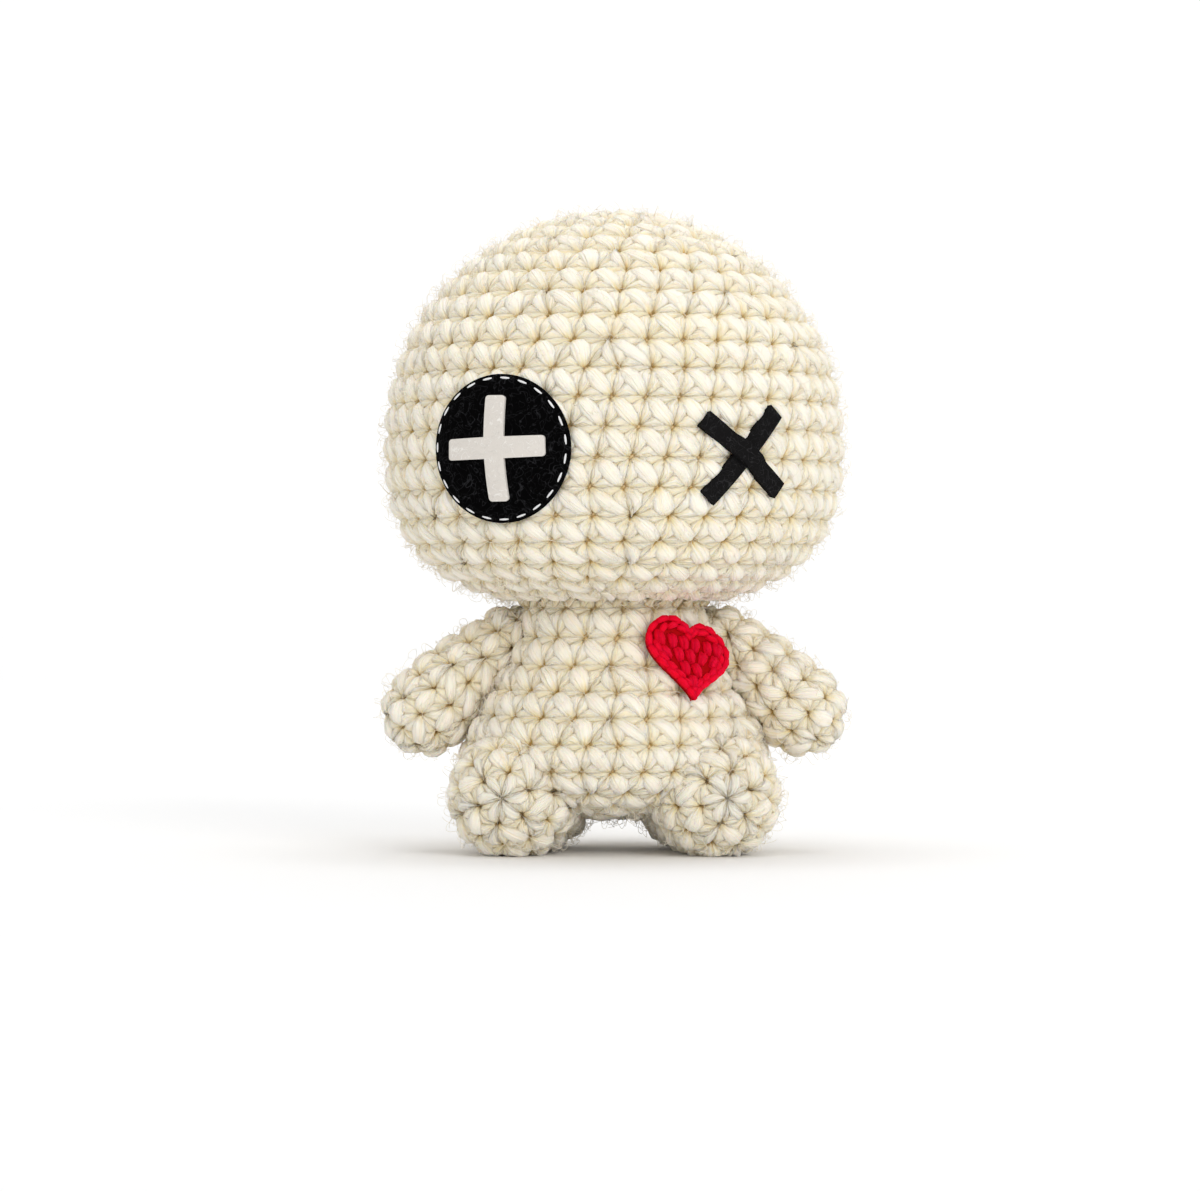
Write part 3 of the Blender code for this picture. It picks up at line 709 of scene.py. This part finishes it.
seam_share = np.linspace(0.0, 1.0, SEAM_STATIONS)
seam_turn = np.arange(SEAM_STITCHES)[:, None] * 2 * math.pi / SEAM_STITCHES + SEAM_LEAN * seam_share
seam_radius = SEAM_RADIUS + SEAM_BULGE * np.sin(math.pi * seam_share)
seam_height = np.broadcast_to(SEAM_LOW + (SEAM_HIGH - SEAM_LOW) * seam_share, seam_turn.shape)
seam_way = np.stack([np.sin(seam_turn), -np.cos(seam_turn), 0.0 * seam_turn], axis=-1)
seam_centres = seam_way * seam_radius[:, None] + np.array((0.0, SET_BACK, 0.0))
seam_centres[..., 2] = seam_height
seam_mesh = strands(seam_centres, seam_way, SEAM_HALF_WIDTH, SEAM_HALF_WIDTH)
# Painted shade: the seam lies in the crease under the head, so its colour moves towards the shade colour.
mark(seam_mesh, "depth", -0.4)
mark(seam_mesh, "tone", 0.5)
neck_stitches = add_piece("neck_stitches", seam_mesh, "neck", cream_yarn)
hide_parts("neck_seam")

# Arms
# Two small stuffed clubs, worked from a ring at the hand and sewn to the body's sides.
HAND_ACROSS = 21.8 * MM
HAND_FORWARD = 1.5 * MM
HAND_HEIGHT = 16.5 * MM
HAND_RADIUS = 5.25 * MM
HAND_TIP = 5.4 * MM
SHOULDER_END_RADIUS = 3.3 * MM
LIMB_STITCH_WIDTH = 3.4 * MM
LIMB_FILL_DEPTH = 1.1 * MM
SEWN_LENGTH = 1.0 * MM
BEND_LENGTH = 6.0 * MM
ARM_POINTS = 12
ARM_SEED = 20
SLIMMEST_GIRTH = 0.1
GIRTHS_TRIED = np.linspace(0.2, 1.0, 9)


def limb_place(start, end):
    """A place at the start whose own Z points at the end."""
    aim = (end - start).to_track_quat("Z", "Y")
    return Matrix.Translation(start) @ aim.to_matrix().to_4x4()


def drawn_in(points, place, clear_of):
    """Points pulled towards a limb's axis until they are clear of its neighbours."""
    local = in_place(points, place)
    settled = local * (SLIMMEST_GIRTH, SLIMMEST_GIRTH, 1.0)
    for girth in GIRTHS_TRIED:
        tried = local * (girth, girth, 1.0)
        clear = np.full(len(points), True)
        for neighbour in clear_of:
            height, _ = height_off(from_place(tried, place), *neighbour)
            clear &= height > YARN_DEPTH
        settled[clear] = tried[clear]
    return from_place(settled, place)


def add_limb(name, outline, place, seed, clear_of, floor=None):
    """The filling and the crocheted cover of one limb."""
    last = outline["run"][-1]
    filling = stuffing_mesh(outline, LIMB_FILL_DEPTH, place, last)
    points = drawn_in(coordinates(filling), place, clear_of)
    if floor is not None:
        points[:, 2] = np.maximum(points[:, 2], floor + LIMB_FILL_DEPTH)
    filling.vertices.foreach_set("co", points.ravel())
    cover = crocheted(outline, 0.0, last, place, seed, LIMB_STITCH_WIDTH, clear_of=clear_of, floor=floor)
    return add_filling(name, filling), add_cover(name, cover)


beside_body = [(body_outline, upright)]
limbs = {}
for side, limb in ((1, "left_arm"), (-1, "right_arm")):
    shoulder = joint_at[f"{limb}_raise"]
    hand = Vector((side * HAND_ACROSS, SET_BACK - HAND_FORWARD, HAND_HEIGHT))
    arm_length = (hand - shoulder).length
    shares = np.linspace(1.0, 0.0, ARM_POINTS)
    shaft_radii = SHOULDER_END_RADIUS + (HAND_RADIUS - SHOULDER_END_RADIUS) * np.sin(shares * math.pi / 2)
    shaft = np.stack([shaft_radii, arm_length * shares], axis=1)
    arm_outline = eased(np.concatenate([
        quarter(HAND_RADIUS, HAND_TIP, arm_length),
        shaft[1:-1],
        quarter(SHOULDER_END_RADIUS, -SHOULDER_END_RADIUS, 0.0)[::-1],
    ]))
    arm_way = (hand - shoulder).normalized()
    arm_place = limb_place(shoulder, hand)
    bend_start = shoulder - arm_way * SEWN_LENGTH
    bend_end = bend_start + arm_way * BEND_LENGTH
    for piece in add_limb(limb, arm_outline, arm_place, ARM_SEED + side, beside_body):
        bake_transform(piece)
    limbs[limb] = (arm_outline, arm_place, (bend_start, bend_end))

# Legs
# Two stubby feet that point forward, worked from a ring at the toe, flattened under the sole by the
# doll's weight and sewn under the edge of the body.
FOOT_ACROSS = 11.7 * MM
FOOT_FORWARD = 10.0 * MM
HIP_ACROSS = 9.5 * MM
HIP_BACK = 4.0 * MM
LEG_RADIUS = 7.4 * MM
LEG_BACK_RADIUS = 7.3 * MM
SOLE_CUT = 0.5 * MM
LEG_SEED = 30
# Measured from the hip: the end of the heel and the start of the toe.
HEEL_END = Vector((0.0, -2.5, 6.0)) * MM
TOE_START = Vector((0.0, -16.5, -4.0)) * MM

for side, limb in ((1, "left_leg"), (-1, "right_leg")):
    axis_height = LEG_RADIUS - SOLE_CUT
    hip = Vector((side * HIP_ACROSS, SET_BACK + HIP_BACK, axis_height))
    foot = Vector((side * FOOT_ACROSS, SET_BACK - FOOT_FORWARD, axis_height))
    leg_outline = eased(np.concatenate([
        quarter(LEG_RADIUS, LEG_RADIUS, (foot - hip).length),
        quarter(LEG_BACK_RADIUS, -LEG_BACK_RADIUS, 0.0)[::-1],
    ]))
    leg_place = limb_place(hip, foot)
    foot_bend = (hip + HEEL_END, hip + TOE_START)
    for piece in add_limb(limb, leg_outline, leg_place, LEG_SEED + side, beside_body, floor=0.0):
        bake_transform(piece)
    limbs[limb] = (leg_outline, leg_place, foot_bend)

# Round eye
# A disc of black craft felt with a white felt cross glued on it. A running stitch in white thread
# goes round just inside its edge, holds it to the head and draws a shallow groove in the felt.
EYE_AZIMUTH = -29.0
EYE_HEIGHT = 46.4 * MM
EYE_RADIUS = 8.3 * MM
# Sewn over the round of the head, the disc lies a little wider than it is tall.
EYE_STRETCH = (1.036, 0.985, 1.0)
EYE_STEPS = 96
EYE_RINGS = 16
FELT_LOW = -0.2 * MM
FELT_TOP = 0.85 * MM
FELT_EDGE = 0.3 * MM
THREAD_RING_RADIUS = 7.8 * MM
THREAD_GROOVE = 0.12 * MM
THREAD_STITCHES = 23
THREAD_STITCH_SHARE = 0.78
THREAD_HALF_WIDTHS = np.array((0.06, 0.12, 0.14, 0.14, 0.12, 0.06)) * MM
THREAD_FLATNESS = 0.7
THREAD_LIFTS = np.array((-0.16, 0.0, 0.04, 0.04, 0.0, -0.16)) * MM
CROSS_THICKNESS = 0.4 * MM
CROSS_ROUNDING = 0.36 * MM
CROSS_CELL = 0.9 * MM
# The cross was cut by hand, so its bars lean a little and no two ends are alike.
CROSS_CORNERS = np.array((
    (-1.12, 5.70), (1.24, 5.66), (1.16, 1.24), (5.90, 1.32), (5.94, -0.98), (1.18, -1.14),
    (1.48, -5.68), (-0.88, -5.70), (-1.18, -1.20), (-5.94, -1.28), (-5.90, 1.04), (-1.24, 1.20),
)) * MM


def facing_way(azimuth, pitch=0.0):
    """Right, up and out for something that looks out from the doll at an azimuth and a pitch."""
    turn = math.radians(azimuth)
    lift = math.radians(pitch)
    out = Vector((math.sin(turn) * math.cos(lift), -math.cos(turn) * math.cos(lift), math.sin(lift)))
    right = Vector((math.cos(turn), math.sin(turn), 0.0))
    return right, out.cross(right), out


def laid_on_head(azimuth, height, flat):
    """Points across, up and out of a flat pattern, laid on the head's own round."""
    right, _, out = (np.array(way) for way in facing_way(azimuth))
    across, up, lift = flat.reshape(-1, 3).T
    level = height + up
    fall = -head_outline["point"][:, 1]
    radius = np.interp(-level, fall, head_outline["point"][:, 0])
    spread = np.interp(-level, fall, head_outline["normal"][:, 0])
    rise = np.interp(-level, fall, head_outline["normal"][:, 1])
    ahead = np.sqrt(radius**2 - across**2)
    way = (across[:, None] * right + ahead[:, None] * out) / radius[:, None]
    laid = way * (radius + spread * lift)[:, None]
    laid[:, 1] += SET_BACK
    laid[:, 2] = level + rise * lift
    return laid.reshape(flat.shape)


def felt_finish(name, ground, fibre, roughness):
    """Pressed wool felt: a matt ground with fine curled fibres lying in it."""
    felt = Finish(name, roughness)
    felt.surface.inputs["Specular IOR Level"].default_value = 0.02
    place = felt.place()
    bare = (0.0, 0.0, 0.0, 1.0)
    full = (1.0, 1.0, 1.0, 1.0)
    # A fibre lies wherever the noise passes through its middle value.
    lint = 0.0
    for scale, width in ((430.0, 0.012), (760.0, 0.018)):
        field = felt.noise(place, scale, Detail=1.0, Distortion=1.4)
        lint = lint + felt.ramp(field, [(0.5 - width, bare), (0.5, full), (0.5 + width, bare)])
    patches = felt.noise(place, 1500.0, Detail=3.0)
    felt.wire_in("Base Color", felt.add(
        "ShaderNodeMix", {"data_type": "RGBA"}, {"Factor": lint * patches, 6: ground, 7: fibre}, 2
    ))
    felt.wire_bump(0.7, 0.12 * MM, patches * 0.7 + lint * 0.3)
    return felt.material


black_felt = felt_finish(
    "black_felt", (0.0014, 0.0013, 0.0014, 1.0), (0.032, 0.032, 0.035, 1.0), 0.95
)
white_felt = felt_finish("white_felt", (0.66, 0.62, 0.57, 1.0), (0.88, 0.86, 0.82, 1.0), 0.9)
white_thread = Finish("white_thread", 0.6, 0.2)
white_thread.surface.inputs["Base Color"].default_value = (0.72, 0.72, 0.72, 1.0)
thread_lines = white_thread.noise(white_thread.attribute("fibre", "Vector"), 3.0)
white_thread.wire_bump(0.5, 0.05 * MM, thread_lines)


def felt_disc(radius):
    """A round of felt, its edge rounded and its face drawn in under the running stitch."""
    inner = np.linspace(0.0, radius - FELT_EDGE, EYE_RINGS)
    bend = np.linspace(0.0, math.pi / 2, 5)[1:]
    groove = THREAD_GROOVE * np.exp(-((inner - THREAD_RING_RADIUS) / FELT_EDGE) ** 2)
    face = np.stack([inner, 0 * inner, FELT_TOP - groove], axis=1)
    face_end = face[-1, 2]
    edge = np.stack([
        radius - FELT_EDGE * (1 - np.sin(bend)), 0 * bend, face_end - FELT_EDGE * (1 - np.cos(bend))
    ], axis=1)
    back = np.stack([inner[::-1], 0 * inner, np.full(EYE_RINGS, FELT_LOW)], axis=1)
    return finished(turned_form(np.concatenate([face, edge, back]), EYE_STEPS))


def felt_cut(corners, rounding, cell, low, top):
    """A flat shape cut from felt with scissors, in cells small enough to bend over the head."""
    shape = bmesh.new()
    shape.faces.new([shape.verts.new((across, up, low)) for across, up in corners])
    farthest = max(vert.co.xy.length for vert in shape.verts)
    outer_corners = [vert for vert in shape.verts if vert.co.xy.length > farthest / 2]
    bmesh.ops.bevel(
        shape, geom=outer_corners, offset=rounding, segments=3, profile=0.5, affect="VERTICES", material=-1
    )
    for cut in np.arange(-farthest + cell / 2, farthest, cell):
        for way in ((1.0, 0.0, 0.0), (0.0, 1.0, 0.0)):
            every = shape.verts[:] + shape.edges[:] + shape.faces[:]
            bmesh.ops.bisect_plane(shape, geom=every, plane_co=Vector(way) * cut, plane_no=way)
    raised = bmesh.ops.extrude_face_region(shape, geom=shape.faces[:], use_keep_orig=True)["geom"]
    bmesh.ops.translate(shape, verts=verts_of(raised), vec=(0.0, 0.0, top - low))
    bmesh.ops.recalc_face_normals(shape, faces=shape.faces)
    return finished(shape)


def soften(obj):
    """Rounds the cut edges of a felt piece."""
    soft_edge = obj.modifiers.new("soft_edge", "BEVEL")
    soft_edge.width = 0.14 * MM
    soft_edge.segments = 2
    soft_edge.limit_method = "ANGLE"
    soft_edge.angle_limit = math.radians(50.0)


disc_mesh = felt_disc(EYE_RADIUS)
disc_points = laid_on_head(EYE_AZIMUTH, EYE_HEIGHT, coordinates(disc_mesh) * EYE_STRETCH)
disc_mesh.vertices.foreach_set("co", disc_points.ravel())
eye_disc = add_piece("round_eye_felt", disc_mesh, "head", black_felt)
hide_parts("round_eye_patch")

thread_share = THREAD_STITCH_SHARE * np.linspace(0.0, 1.0, len(THREAD_LIFTS))
thread_turn = (np.arange(THREAD_STITCHES)[:, None] + thread_share) * 2 * math.pi / THREAD_STITCHES
thread_flat = np.stack([
    THREAD_RING_RADIUS * np.cos(thread_turn),
    THREAD_RING_RADIUS * np.sin(thread_turn),
    np.broadcast_to(FELT_TOP - THREAD_GROOVE + THREAD_LIFTS, thread_turn.shape),
], axis=-1)
thread_mesh = strands(
    laid_on_head(EYE_AZIMUTH, EYE_HEIGHT, thread_flat * EYE_STRETCH),
    np.array(facing_way(EYE_AZIMUTH)[2]),
    THREAD_HALF_WIDTHS,
    THREAD_HALF_WIDTHS * THREAD_FLATNESS,
)
eye_thread = add_piece("round_eye_running_stitch", thread_mesh, "head", white_thread.material)

cross_top = FELT_TOP + CROSS_THICKNESS
cross_mesh = felt_cut(CROSS_CORNERS, CROSS_ROUNDING, CROSS_CELL, FELT_TOP, cross_top)
cross_points = laid_on_head(EYE_AZIMUTH, EYE_HEIGHT, coordinates(cross_mesh))
cross_mesh.vertices.foreach_set("co", cross_points.ravel())
eye_cross = add_piece("round_eye_felt_cross", cross_mesh, "head", white_felt)
soften(eye_cross)
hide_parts("round_eye_cross")

# Crossed eye
# Two strips cut from black felt, coloured a little greyer than the disc as painted sheen. They are
# glued to the head, one bent over the other where they cross.
X_EYE_AZIMUTH = 32.6
X_EYE_HEIGHT = 45.7 * MM
STRIP_WIDTH = 2.1 * MM
STRIP_THICKNESS = 0.8 * MM
STRIP_CLIMB = 1.9 * MM
STRIP_ROUNDING = 0.1 * MM
STRIP_CELL = 0.5 * MM
UNDER_LENGTH = 13.2 * MM
UNDER_ANGLE = 48.3
OVER_LENGTH = 12.9 * MM
OVER_ANGLE = -37.5

# Painted sheen: the strips' ground and fibres are painted greyer than the disc's black felt.
sheen_painted_felt = felt_finish(
    "black_felt_painted_sheen", (0.0080, 0.0077, 0.0078, 1.0), (0.045, 0.044, 0.046, 1.0), 0.95
)


def felt_strip(name, node, length, angle, bent_over=None):
    """A straight strip of felt on the head, which climbs over another if it is given its angle."""
    along = np.array((math.cos(math.radians(angle)), math.sin(math.radians(angle)))) * length / 2
    aside = np.array((-along[1], along[0])) / length * STRIP_WIDTH
    corners = (-along - aside, along - aside, along + aside, -along + aside)
    mesh = felt_cut(corners, STRIP_ROUNDING, STRIP_CELL, FELT_LOW, FELT_LOW + STRIP_THICKNESS)
    flat = coordinates(mesh)
    if bent_over is not None:
        other = math.radians(bent_over)
        away = np.abs(flat[:, 1] * math.cos(other) - flat[:, 0] * math.sin(other))
        share = np.clip((STRIP_WIDTH / 2 + STRIP_CLIMB - away) / STRIP_CLIMB, 0.0, 1.0)
        flat[:, 2] += STRIP_THICKNESS * share * share * (3 - 2 * share)
    mesh.vertices.foreach_set("co", laid_on_head(X_EYE_AZIMUTH, X_EYE_HEIGHT, flat).ravel())
    strip = add_piece(name, mesh, "head", sheen_painted_felt)
    soften(strip)
    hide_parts(node)
    return strip


under_strip = felt_strip("x_eye_felt_under", "x_eye_under_strip", UNDER_LENGTH, UNDER_ANGLE)
over_strip = felt_strip("x_eye_felt_over", "x_eye_over_strip", OVER_LENGTH, OVER_ANGLE, UNDER_ANGLE)

# Heart
# A flat heart crocheted in fine red cotton: plump stitches in rows, with a border of chain loops
# round the rim. It is sewn to the chest on the doll's own left.
HEART_WIDTH = 11.4 * MM
HEART_TALL = 10.6 * MM
HEART_AZIMUTH = 30.0
HEART_PITCH = 24.0
HEART_LEAN = math.radians(-11.0)
HEART_ACROSS = 8.6 * MM
HEART_UP = 22.2 * MM
HEART_WRAP_SHARE = 0.5
HEART_GAP = 0.35 * MM
HEART_WAVES = (13.0, -4.0, -1.6, -0.7)
HEART_BACKING = 0.9 * MM
BACKING_SHARE = 0.92
HEART_POINTS = 360
HEART_SHADED_LIFT = 1.55
REACHES_TRIED = np.arange(-8.0, 8.0, 0.05) * MM
RIM_PITCH = 1.75 * MM
RIM_OVERLAP_SHARE = 1.3
RIM_TURN_SHARES = ((0.925, 0.925, 0.0), (0.82, 0.72, 0.45))
HEART_CORE = 0.3 * MM
PLUMP_PITCH = 1.55 * MM
PLUMP_ROW = 1.65 * MM
PLUMP_LENGTH = 2.1 * MM
PLUMP_SHARE = 0.70
PLUMP_RISE_SHARE = 0.3
PLUMP_WOBBLE = 0.06
PLUMP_LEAN_A_MM = -7.0
PLUMP_LEAN_WOBBLE = 12.0
PLUMP_FAN = ((-0.40, -0.10, 1.04), (0.40, 0.12, 1.04), (0.0, 0.02, 1.22))
# Share along a loop's length, half width, half height and lift
RIM_LOOP = np.array((
    (0.0, 0.16, 0.20, 0.62), (0.2, 0.36, 0.40, 0.92), (0.5, 0.42, 0.46, 1.04), (0.8, 0.36, 0.40, 0.94),
    (1.0, 0.16, 0.20, 0.62),
))
PLUMP_LOOP = np.array((
    (0.0, 0.14, 0.18, -0.50), (0.2, 0.28, 0.34, -0.10), (0.5, 0.36, 0.42, 0.0), (0.8, 0.28, 0.34, -0.14),
    (1.0, 0.14, 0.18, -0.60),
))

heart_angle = np.linspace(0.0, 2 * math.pi, HEART_POINTS, endpoint=False)
heart_up = sum(wave * np.cos(turns * heart_angle) for turns, wave in enumerate(HEART_WAVES, 1))
heart_up = HEART_TALL * ((heart_up - heart_up.min()) / np.ptp(heart_up) - 0.5)
heart_rim = np.stack([-np.sin(heart_angle) ** 3 * HEART_WIDTH / 2, heart_up], axis=1)
heart_right, heart_above, heart_out = (np.array(way) for way in facing_way(HEART_AZIMUTH, HEART_PITCH))


def chest_radius(height):
    """The body's radius at a height on its side."""
    return np.interp(-height, -BODY_SIDE[:, 1], BODY_SIDE[:, 0])


heart_ahead = chest_radius(HEART_UP) * math.cos(math.radians(HEART_AZIMUTH))
heart_middle = np.array((HEART_ACROSS, SET_BACK - heart_ahead, HEART_UP))


def body_reach(spots):
    """How far out along the heart's own way the body's surface lies, for each spot."""
    points = spots[:, None, :] + REACHES_TRIED[None, :, None] * heart_out
    around = np.hypot(points[..., 0], points[..., 1] - SET_BACK)
    within = around < chest_radius(points[..., 2])
    last_within = len(REACHES_TRIED) - 1 - within[:, ::-1].argmax(axis=1)
    return REACHES_TRIED[last_within]


def heart_spots(flat):
    """Where flat places across and up lie on a plane that touches the chest."""
    across = flat[:, 0] * math.cos(HEART_LEAN) - flat[:, 1] * math.sin(HEART_LEAN)
    up = flat[:, 0] * math.sin(HEART_LEAN) + flat[:, 1] * math.cos(HEART_LEAN)
    return heart_middle + across[:, None] * heart_right + up[:, None] * heart_above


spiral = heart_rim * np.linspace(0.0, 1.0, HEART_POINTS)[:, None]
highest_reach = body_reach(heart_spots(spiral)).max()


def on_chest(flat):
    """Points across, up and out of the flat heart, bent halfway round the body."""
    points = flat.reshape(-1, 3)
    spots = heart_spots(points[:, :2])
    sunk = (highest_reach - body_reach(spots)) * HEART_WRAP_SHARE
    lift = highest_reach - sunk + HEART_GAP + points[:, 2]
    return (spots + lift[:, None] * heart_out).reshape(flat.shape)


def shrunk(share):
    """The heart's rim, drawn in towards a point just above its middle."""
    return (heart_rim - (0.0, HEART_CORE)) * share + (0.0, HEART_CORE)


def rim_loops(start_share, end_share, offset_share):
    """Loops that follow one another round the heart, from one shrunk rim to another."""
    run = run_along(heart_rim)
    count = round(run[-1] / RIM_PITCH)
    start = (np.arange(count)[:, None] + offset_share) / count * run[-1]
    along = (start + RIM_LOOP[:, 0] * RIM_OVERLAP_SHARE * run[-1] / count) % run[-1]
    shrinking = start_share + (end_share - start_share) * RIM_LOOP[:, 0]
    rim = shrunk(1.0) - (0.0, HEART_CORE)
    flat = np.stack([np.interp(along, run, column) for column in rim.T], axis=-1)
    flat = flat * shrinking[:, None] + (0.0, HEART_CORE)
    lift = np.broadcast_to(RIM_LOOP[:, 3] * MM, along.shape)
    return np.concatenate([flat, lift[..., None]], axis=-1)


def within_rim(across, up, rim):
    """Whether a place lies inside a closed outline."""
    before = np.roll(rim, 1, axis=0)
    spans = (rim[:, 1] > up) != (before[:, 1] > up)
    slope = (before[:, 0] - rim[:, 0]) / (before[:, 1] - rim[:, 1] + (before[:, 1] == rim[:, 1]))
    return (spans & (across < rim[:, 0] + (up - rim[:, 1]) * slope)).sum() % 2 == 1


def plump_stitches():
    """The stitches inside the border, in rows that fan out from the point of the heart."""
    dice = random.Random(8)
    stitches = []
    for row in range(-3, 4):
        for column in range(-5, 6):
            across = (column + 0.5 * (row % 2)) * PLUMP_PITCH + dice.gauss(0.0, PLUMP_WOBBLE) * MM
            up = row * PLUMP_ROW + PLUMP_RISE_SHARE * PLUMP_ROW + dice.gauss(0.0, PLUMP_WOBBLE) * MM
            if not within_rim(across, up, shrunk(PLUMP_SHARE)):
                continue
            lean = math.radians(PLUMP_LEAN_A_MM * across / MM + dice.gauss(0.0, PLUMP_LEAN_WOBBLE))
            along = (PLUMP_LOOP[:, 0] - 0.5) * PLUMP_LENGTH
            for spread, gathered, lift in PLUMP_FAN:
                aside = (spread + (gathered - spread) * PLUMP_LOOP[:, 0]) * MM
                stitches.append(np.stack([
                    across + along * math.sin(lean) + aside * math.cos(lean),
                    up - along * math.cos(lean) + aside * math.sin(lean),
                    (lift + PLUMP_LOOP[:, 3]) * MM,
                ], axis=1))
    return np.array(stitches)


# The first colour is painted shade, for the gaps between the stitches.
red_yarn = yarn_finish(
    "red_yarn",
    (0.36, 0.0001, 0.002, 1.0),
    (0.92, 0.0006, 0.017, 1.0),
    (1.0, 0.004, 0.045, 1.0),
    0.7,
    sheen=0.0,
    shine=0.06,
)
backing = bmesh.new()
backing_rim = [backing.verts.new((across, up, 0.0)) for across, up in shrunk(BACKING_SHARE)[::6]]
bmesh.ops.poke(backing, faces=[backing.faces.new(backing_rim)])
bmesh.ops.subdivide_edges(backing, edges=backing.edges[:], cuts=3, use_grid_fill=True)
top = bmesh.ops.extrude_face_region(backing, geom=backing.faces[:], use_keep_orig=True)["geom"]
bmesh.ops.translate(backing, verts=verts_of(top), vec=(0.0, 0.0, HEART_BACKING))
bmesh.ops.recalc_face_normals(backing, faces=backing.faces)
backing_mesh = finished(backing)
backing_mesh.vertices.foreach_set("co", on_chest(coordinates(backing_mesh)).ravel())
# Painted shade: the backing shows only between the stitches, so it takes the dark shade colour.
mark(backing_mesh, "depth", -1.1)
mark(backing_mesh, "tone", 0.5)

heart = bmesh.new()
heart.from_mesh(backing_mesh)
heart_layers = [(rim_loops(*shares), RIM_LOOP) for shares in RIM_TURN_SHARES]
heart_layers.append((plump_stitches(), PLUMP_LOOP))
heart_dice = np.random.default_rng(4)
for flat, loop in heart_layers:
    layer = strands(on_chest(flat), heart_out, loop[:, 1] * MM, loop[:, 2] * MM)
    per_strand = len(layer.vertices) // len(flat)
    strand_middles = on_chest(flat * (1.0, 1.0, 0.0)).mean(axis=1).repeat(per_strand, axis=0)
    raised = (coordinates(layer) - strand_middles) @ heart_out
    # Painted shade: the lower a point of a loop lies, the darker its colour.
    mark(layer, "depth", raised / MM - HEART_SHADED_LIFT)
    mark(layer, "tone", heart_dice.random(len(flat)).repeat(per_strand))
    heart.from_mesh(layer)
heart_crochet = add_piece("heart_crochet", finished(heart), "torso", red_yarn)
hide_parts("heart_patch")

# Stray fibres
# Fine fibres that have worked loose from the yarn and stand off it as little loops all over.
FIBRES_A_SQUARE_MM = 0.36
FIBRE_RADIUS = 0.026 * MM
# In millimetres: how far the loops reach, how high they stand and how much they curl
FIBRE_REACHES = (0.7, 2.1)
FIBRE_HEIGHTS = (0.4, 1.4)
FIBRE_CURL = 0.35
FIBRE_STATIONS = 8
OPEN_ENDED_SHARE = 0.3
FIBRE_CLEARANCE = 0.7 * MM
FLOOR_CLEARANCE = 0.2 * MM
BARE_EDGE = 2.0 * MM

sewn_on = [
    BVHTree.FromObject(obj, bpy.context.evaluated_depsgraph_get())
    for obj in (eye_disc, under_strip, over_strip, heart_crochet)
]


def stray_fibres(outline, first, last, place, seed, clear_of=(), floor=None):
    """Loose loops of fibre, scattered evenly over a turned surface."""
    dice = np.random.default_rng(seed)
    runs = np.linspace(first, last, 400)
    radius = np.interp(runs, outline["run"], outline["point"][:, 0])
    area = 2 * math.pi * radius.mean() * (last - first) / MM / MM
    count = round(area * FIBRES_A_SQUARE_MM)
    run = dice.choice(runs, count, p=radius / radius.sum())
    turn = dice.random(count) * 2 * math.pi
    base = on_turned(outline, run, turn, 0.0)
    out = unit_vectors(on_turned(outline, run, turn, MM) - base)
    random_way = dice.normal(size=(count, 3))
    along = unit_vectors(np.cross(out, random_way))
    aside = np.cross(out, along)
    share = np.linspace(0.0, 1.0, FIBRE_STATIONS)
    reach = dice.uniform(*FIBRE_REACHES, (count, 1)) * MM
    height = dice.uniform(*FIBRE_HEIGHTS, (count, 1)) * MM
    curl = dice.normal(0.0, FIBRE_CURL, (count, 1)) * MM
    open_ended = dice.random((count, 1)) < OPEN_ENDED_SHARE
    rise = np.where(open_ended, np.sin(share * math.pi / 2), np.sin(share * math.pi))
    centres = (
        base[:, None, :]
        + along[:, None, :] * (reach * (share - 0.5))[..., None]
        + out[:, None, :] * (height * rise)[..., None]
        + aside[:, None, :] * (curl * np.sin(2 * math.pi * share))[..., None]
    )
    centres = from_place(centres, place)
    middles = centres[:, FIBRE_STATIONS // 2]
    kept = np.full(count, True)
    for neighbour in clear_of:
        standing, _ = height_off(middles, *neighbour)
        kept &= standing > MM
    if floor is not None:
        kept &= centres[..., 2].min(axis=1) > floor
    for tree in sewn_on:
        kept &= [
            all(tree.find_nearest(spot, FIBRE_CLEARANCE)[0] is None for spot in loop) for loop in centres
        ]
    facing = (out @ np.array(place)[:3, :3].T)[kept][:, None, :]
    return strands(centres[kept], facing, FIBRE_RADIUS, FIBRE_RADIUS, 3)


stray_finish = Finish("stray_fibre", 0.6, 0.3)
stray_finish.surface.inputs["Base Color"].default_value = (0.90, 0.83, 0.69, 1.0)
hair = stray_fibres(head_outline, BARE_EDGE, head_rim_run, upright, 51)
add_piece("head_stray_fibres", hair, "head", stray_finish.material)
hair = stray_fibres(body_outline, neck_run, body_end - BARE_EDGE, upright, 52)
add_piece("body_stray_fibres", hair, "torso", stray_finish.material)
for seed, (limb, (outline, place, bend)) in enumerate(limbs.items()):
    last = outline["run"][-1]
    hair = stray_fibres(outline, 0.0, last, place, seed, beside_body, FLOOR_CLEARANCE)
    loose = add_piece(f"{limb}_stray_fibres", hair, None, stray_finish.material)
    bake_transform(loose)
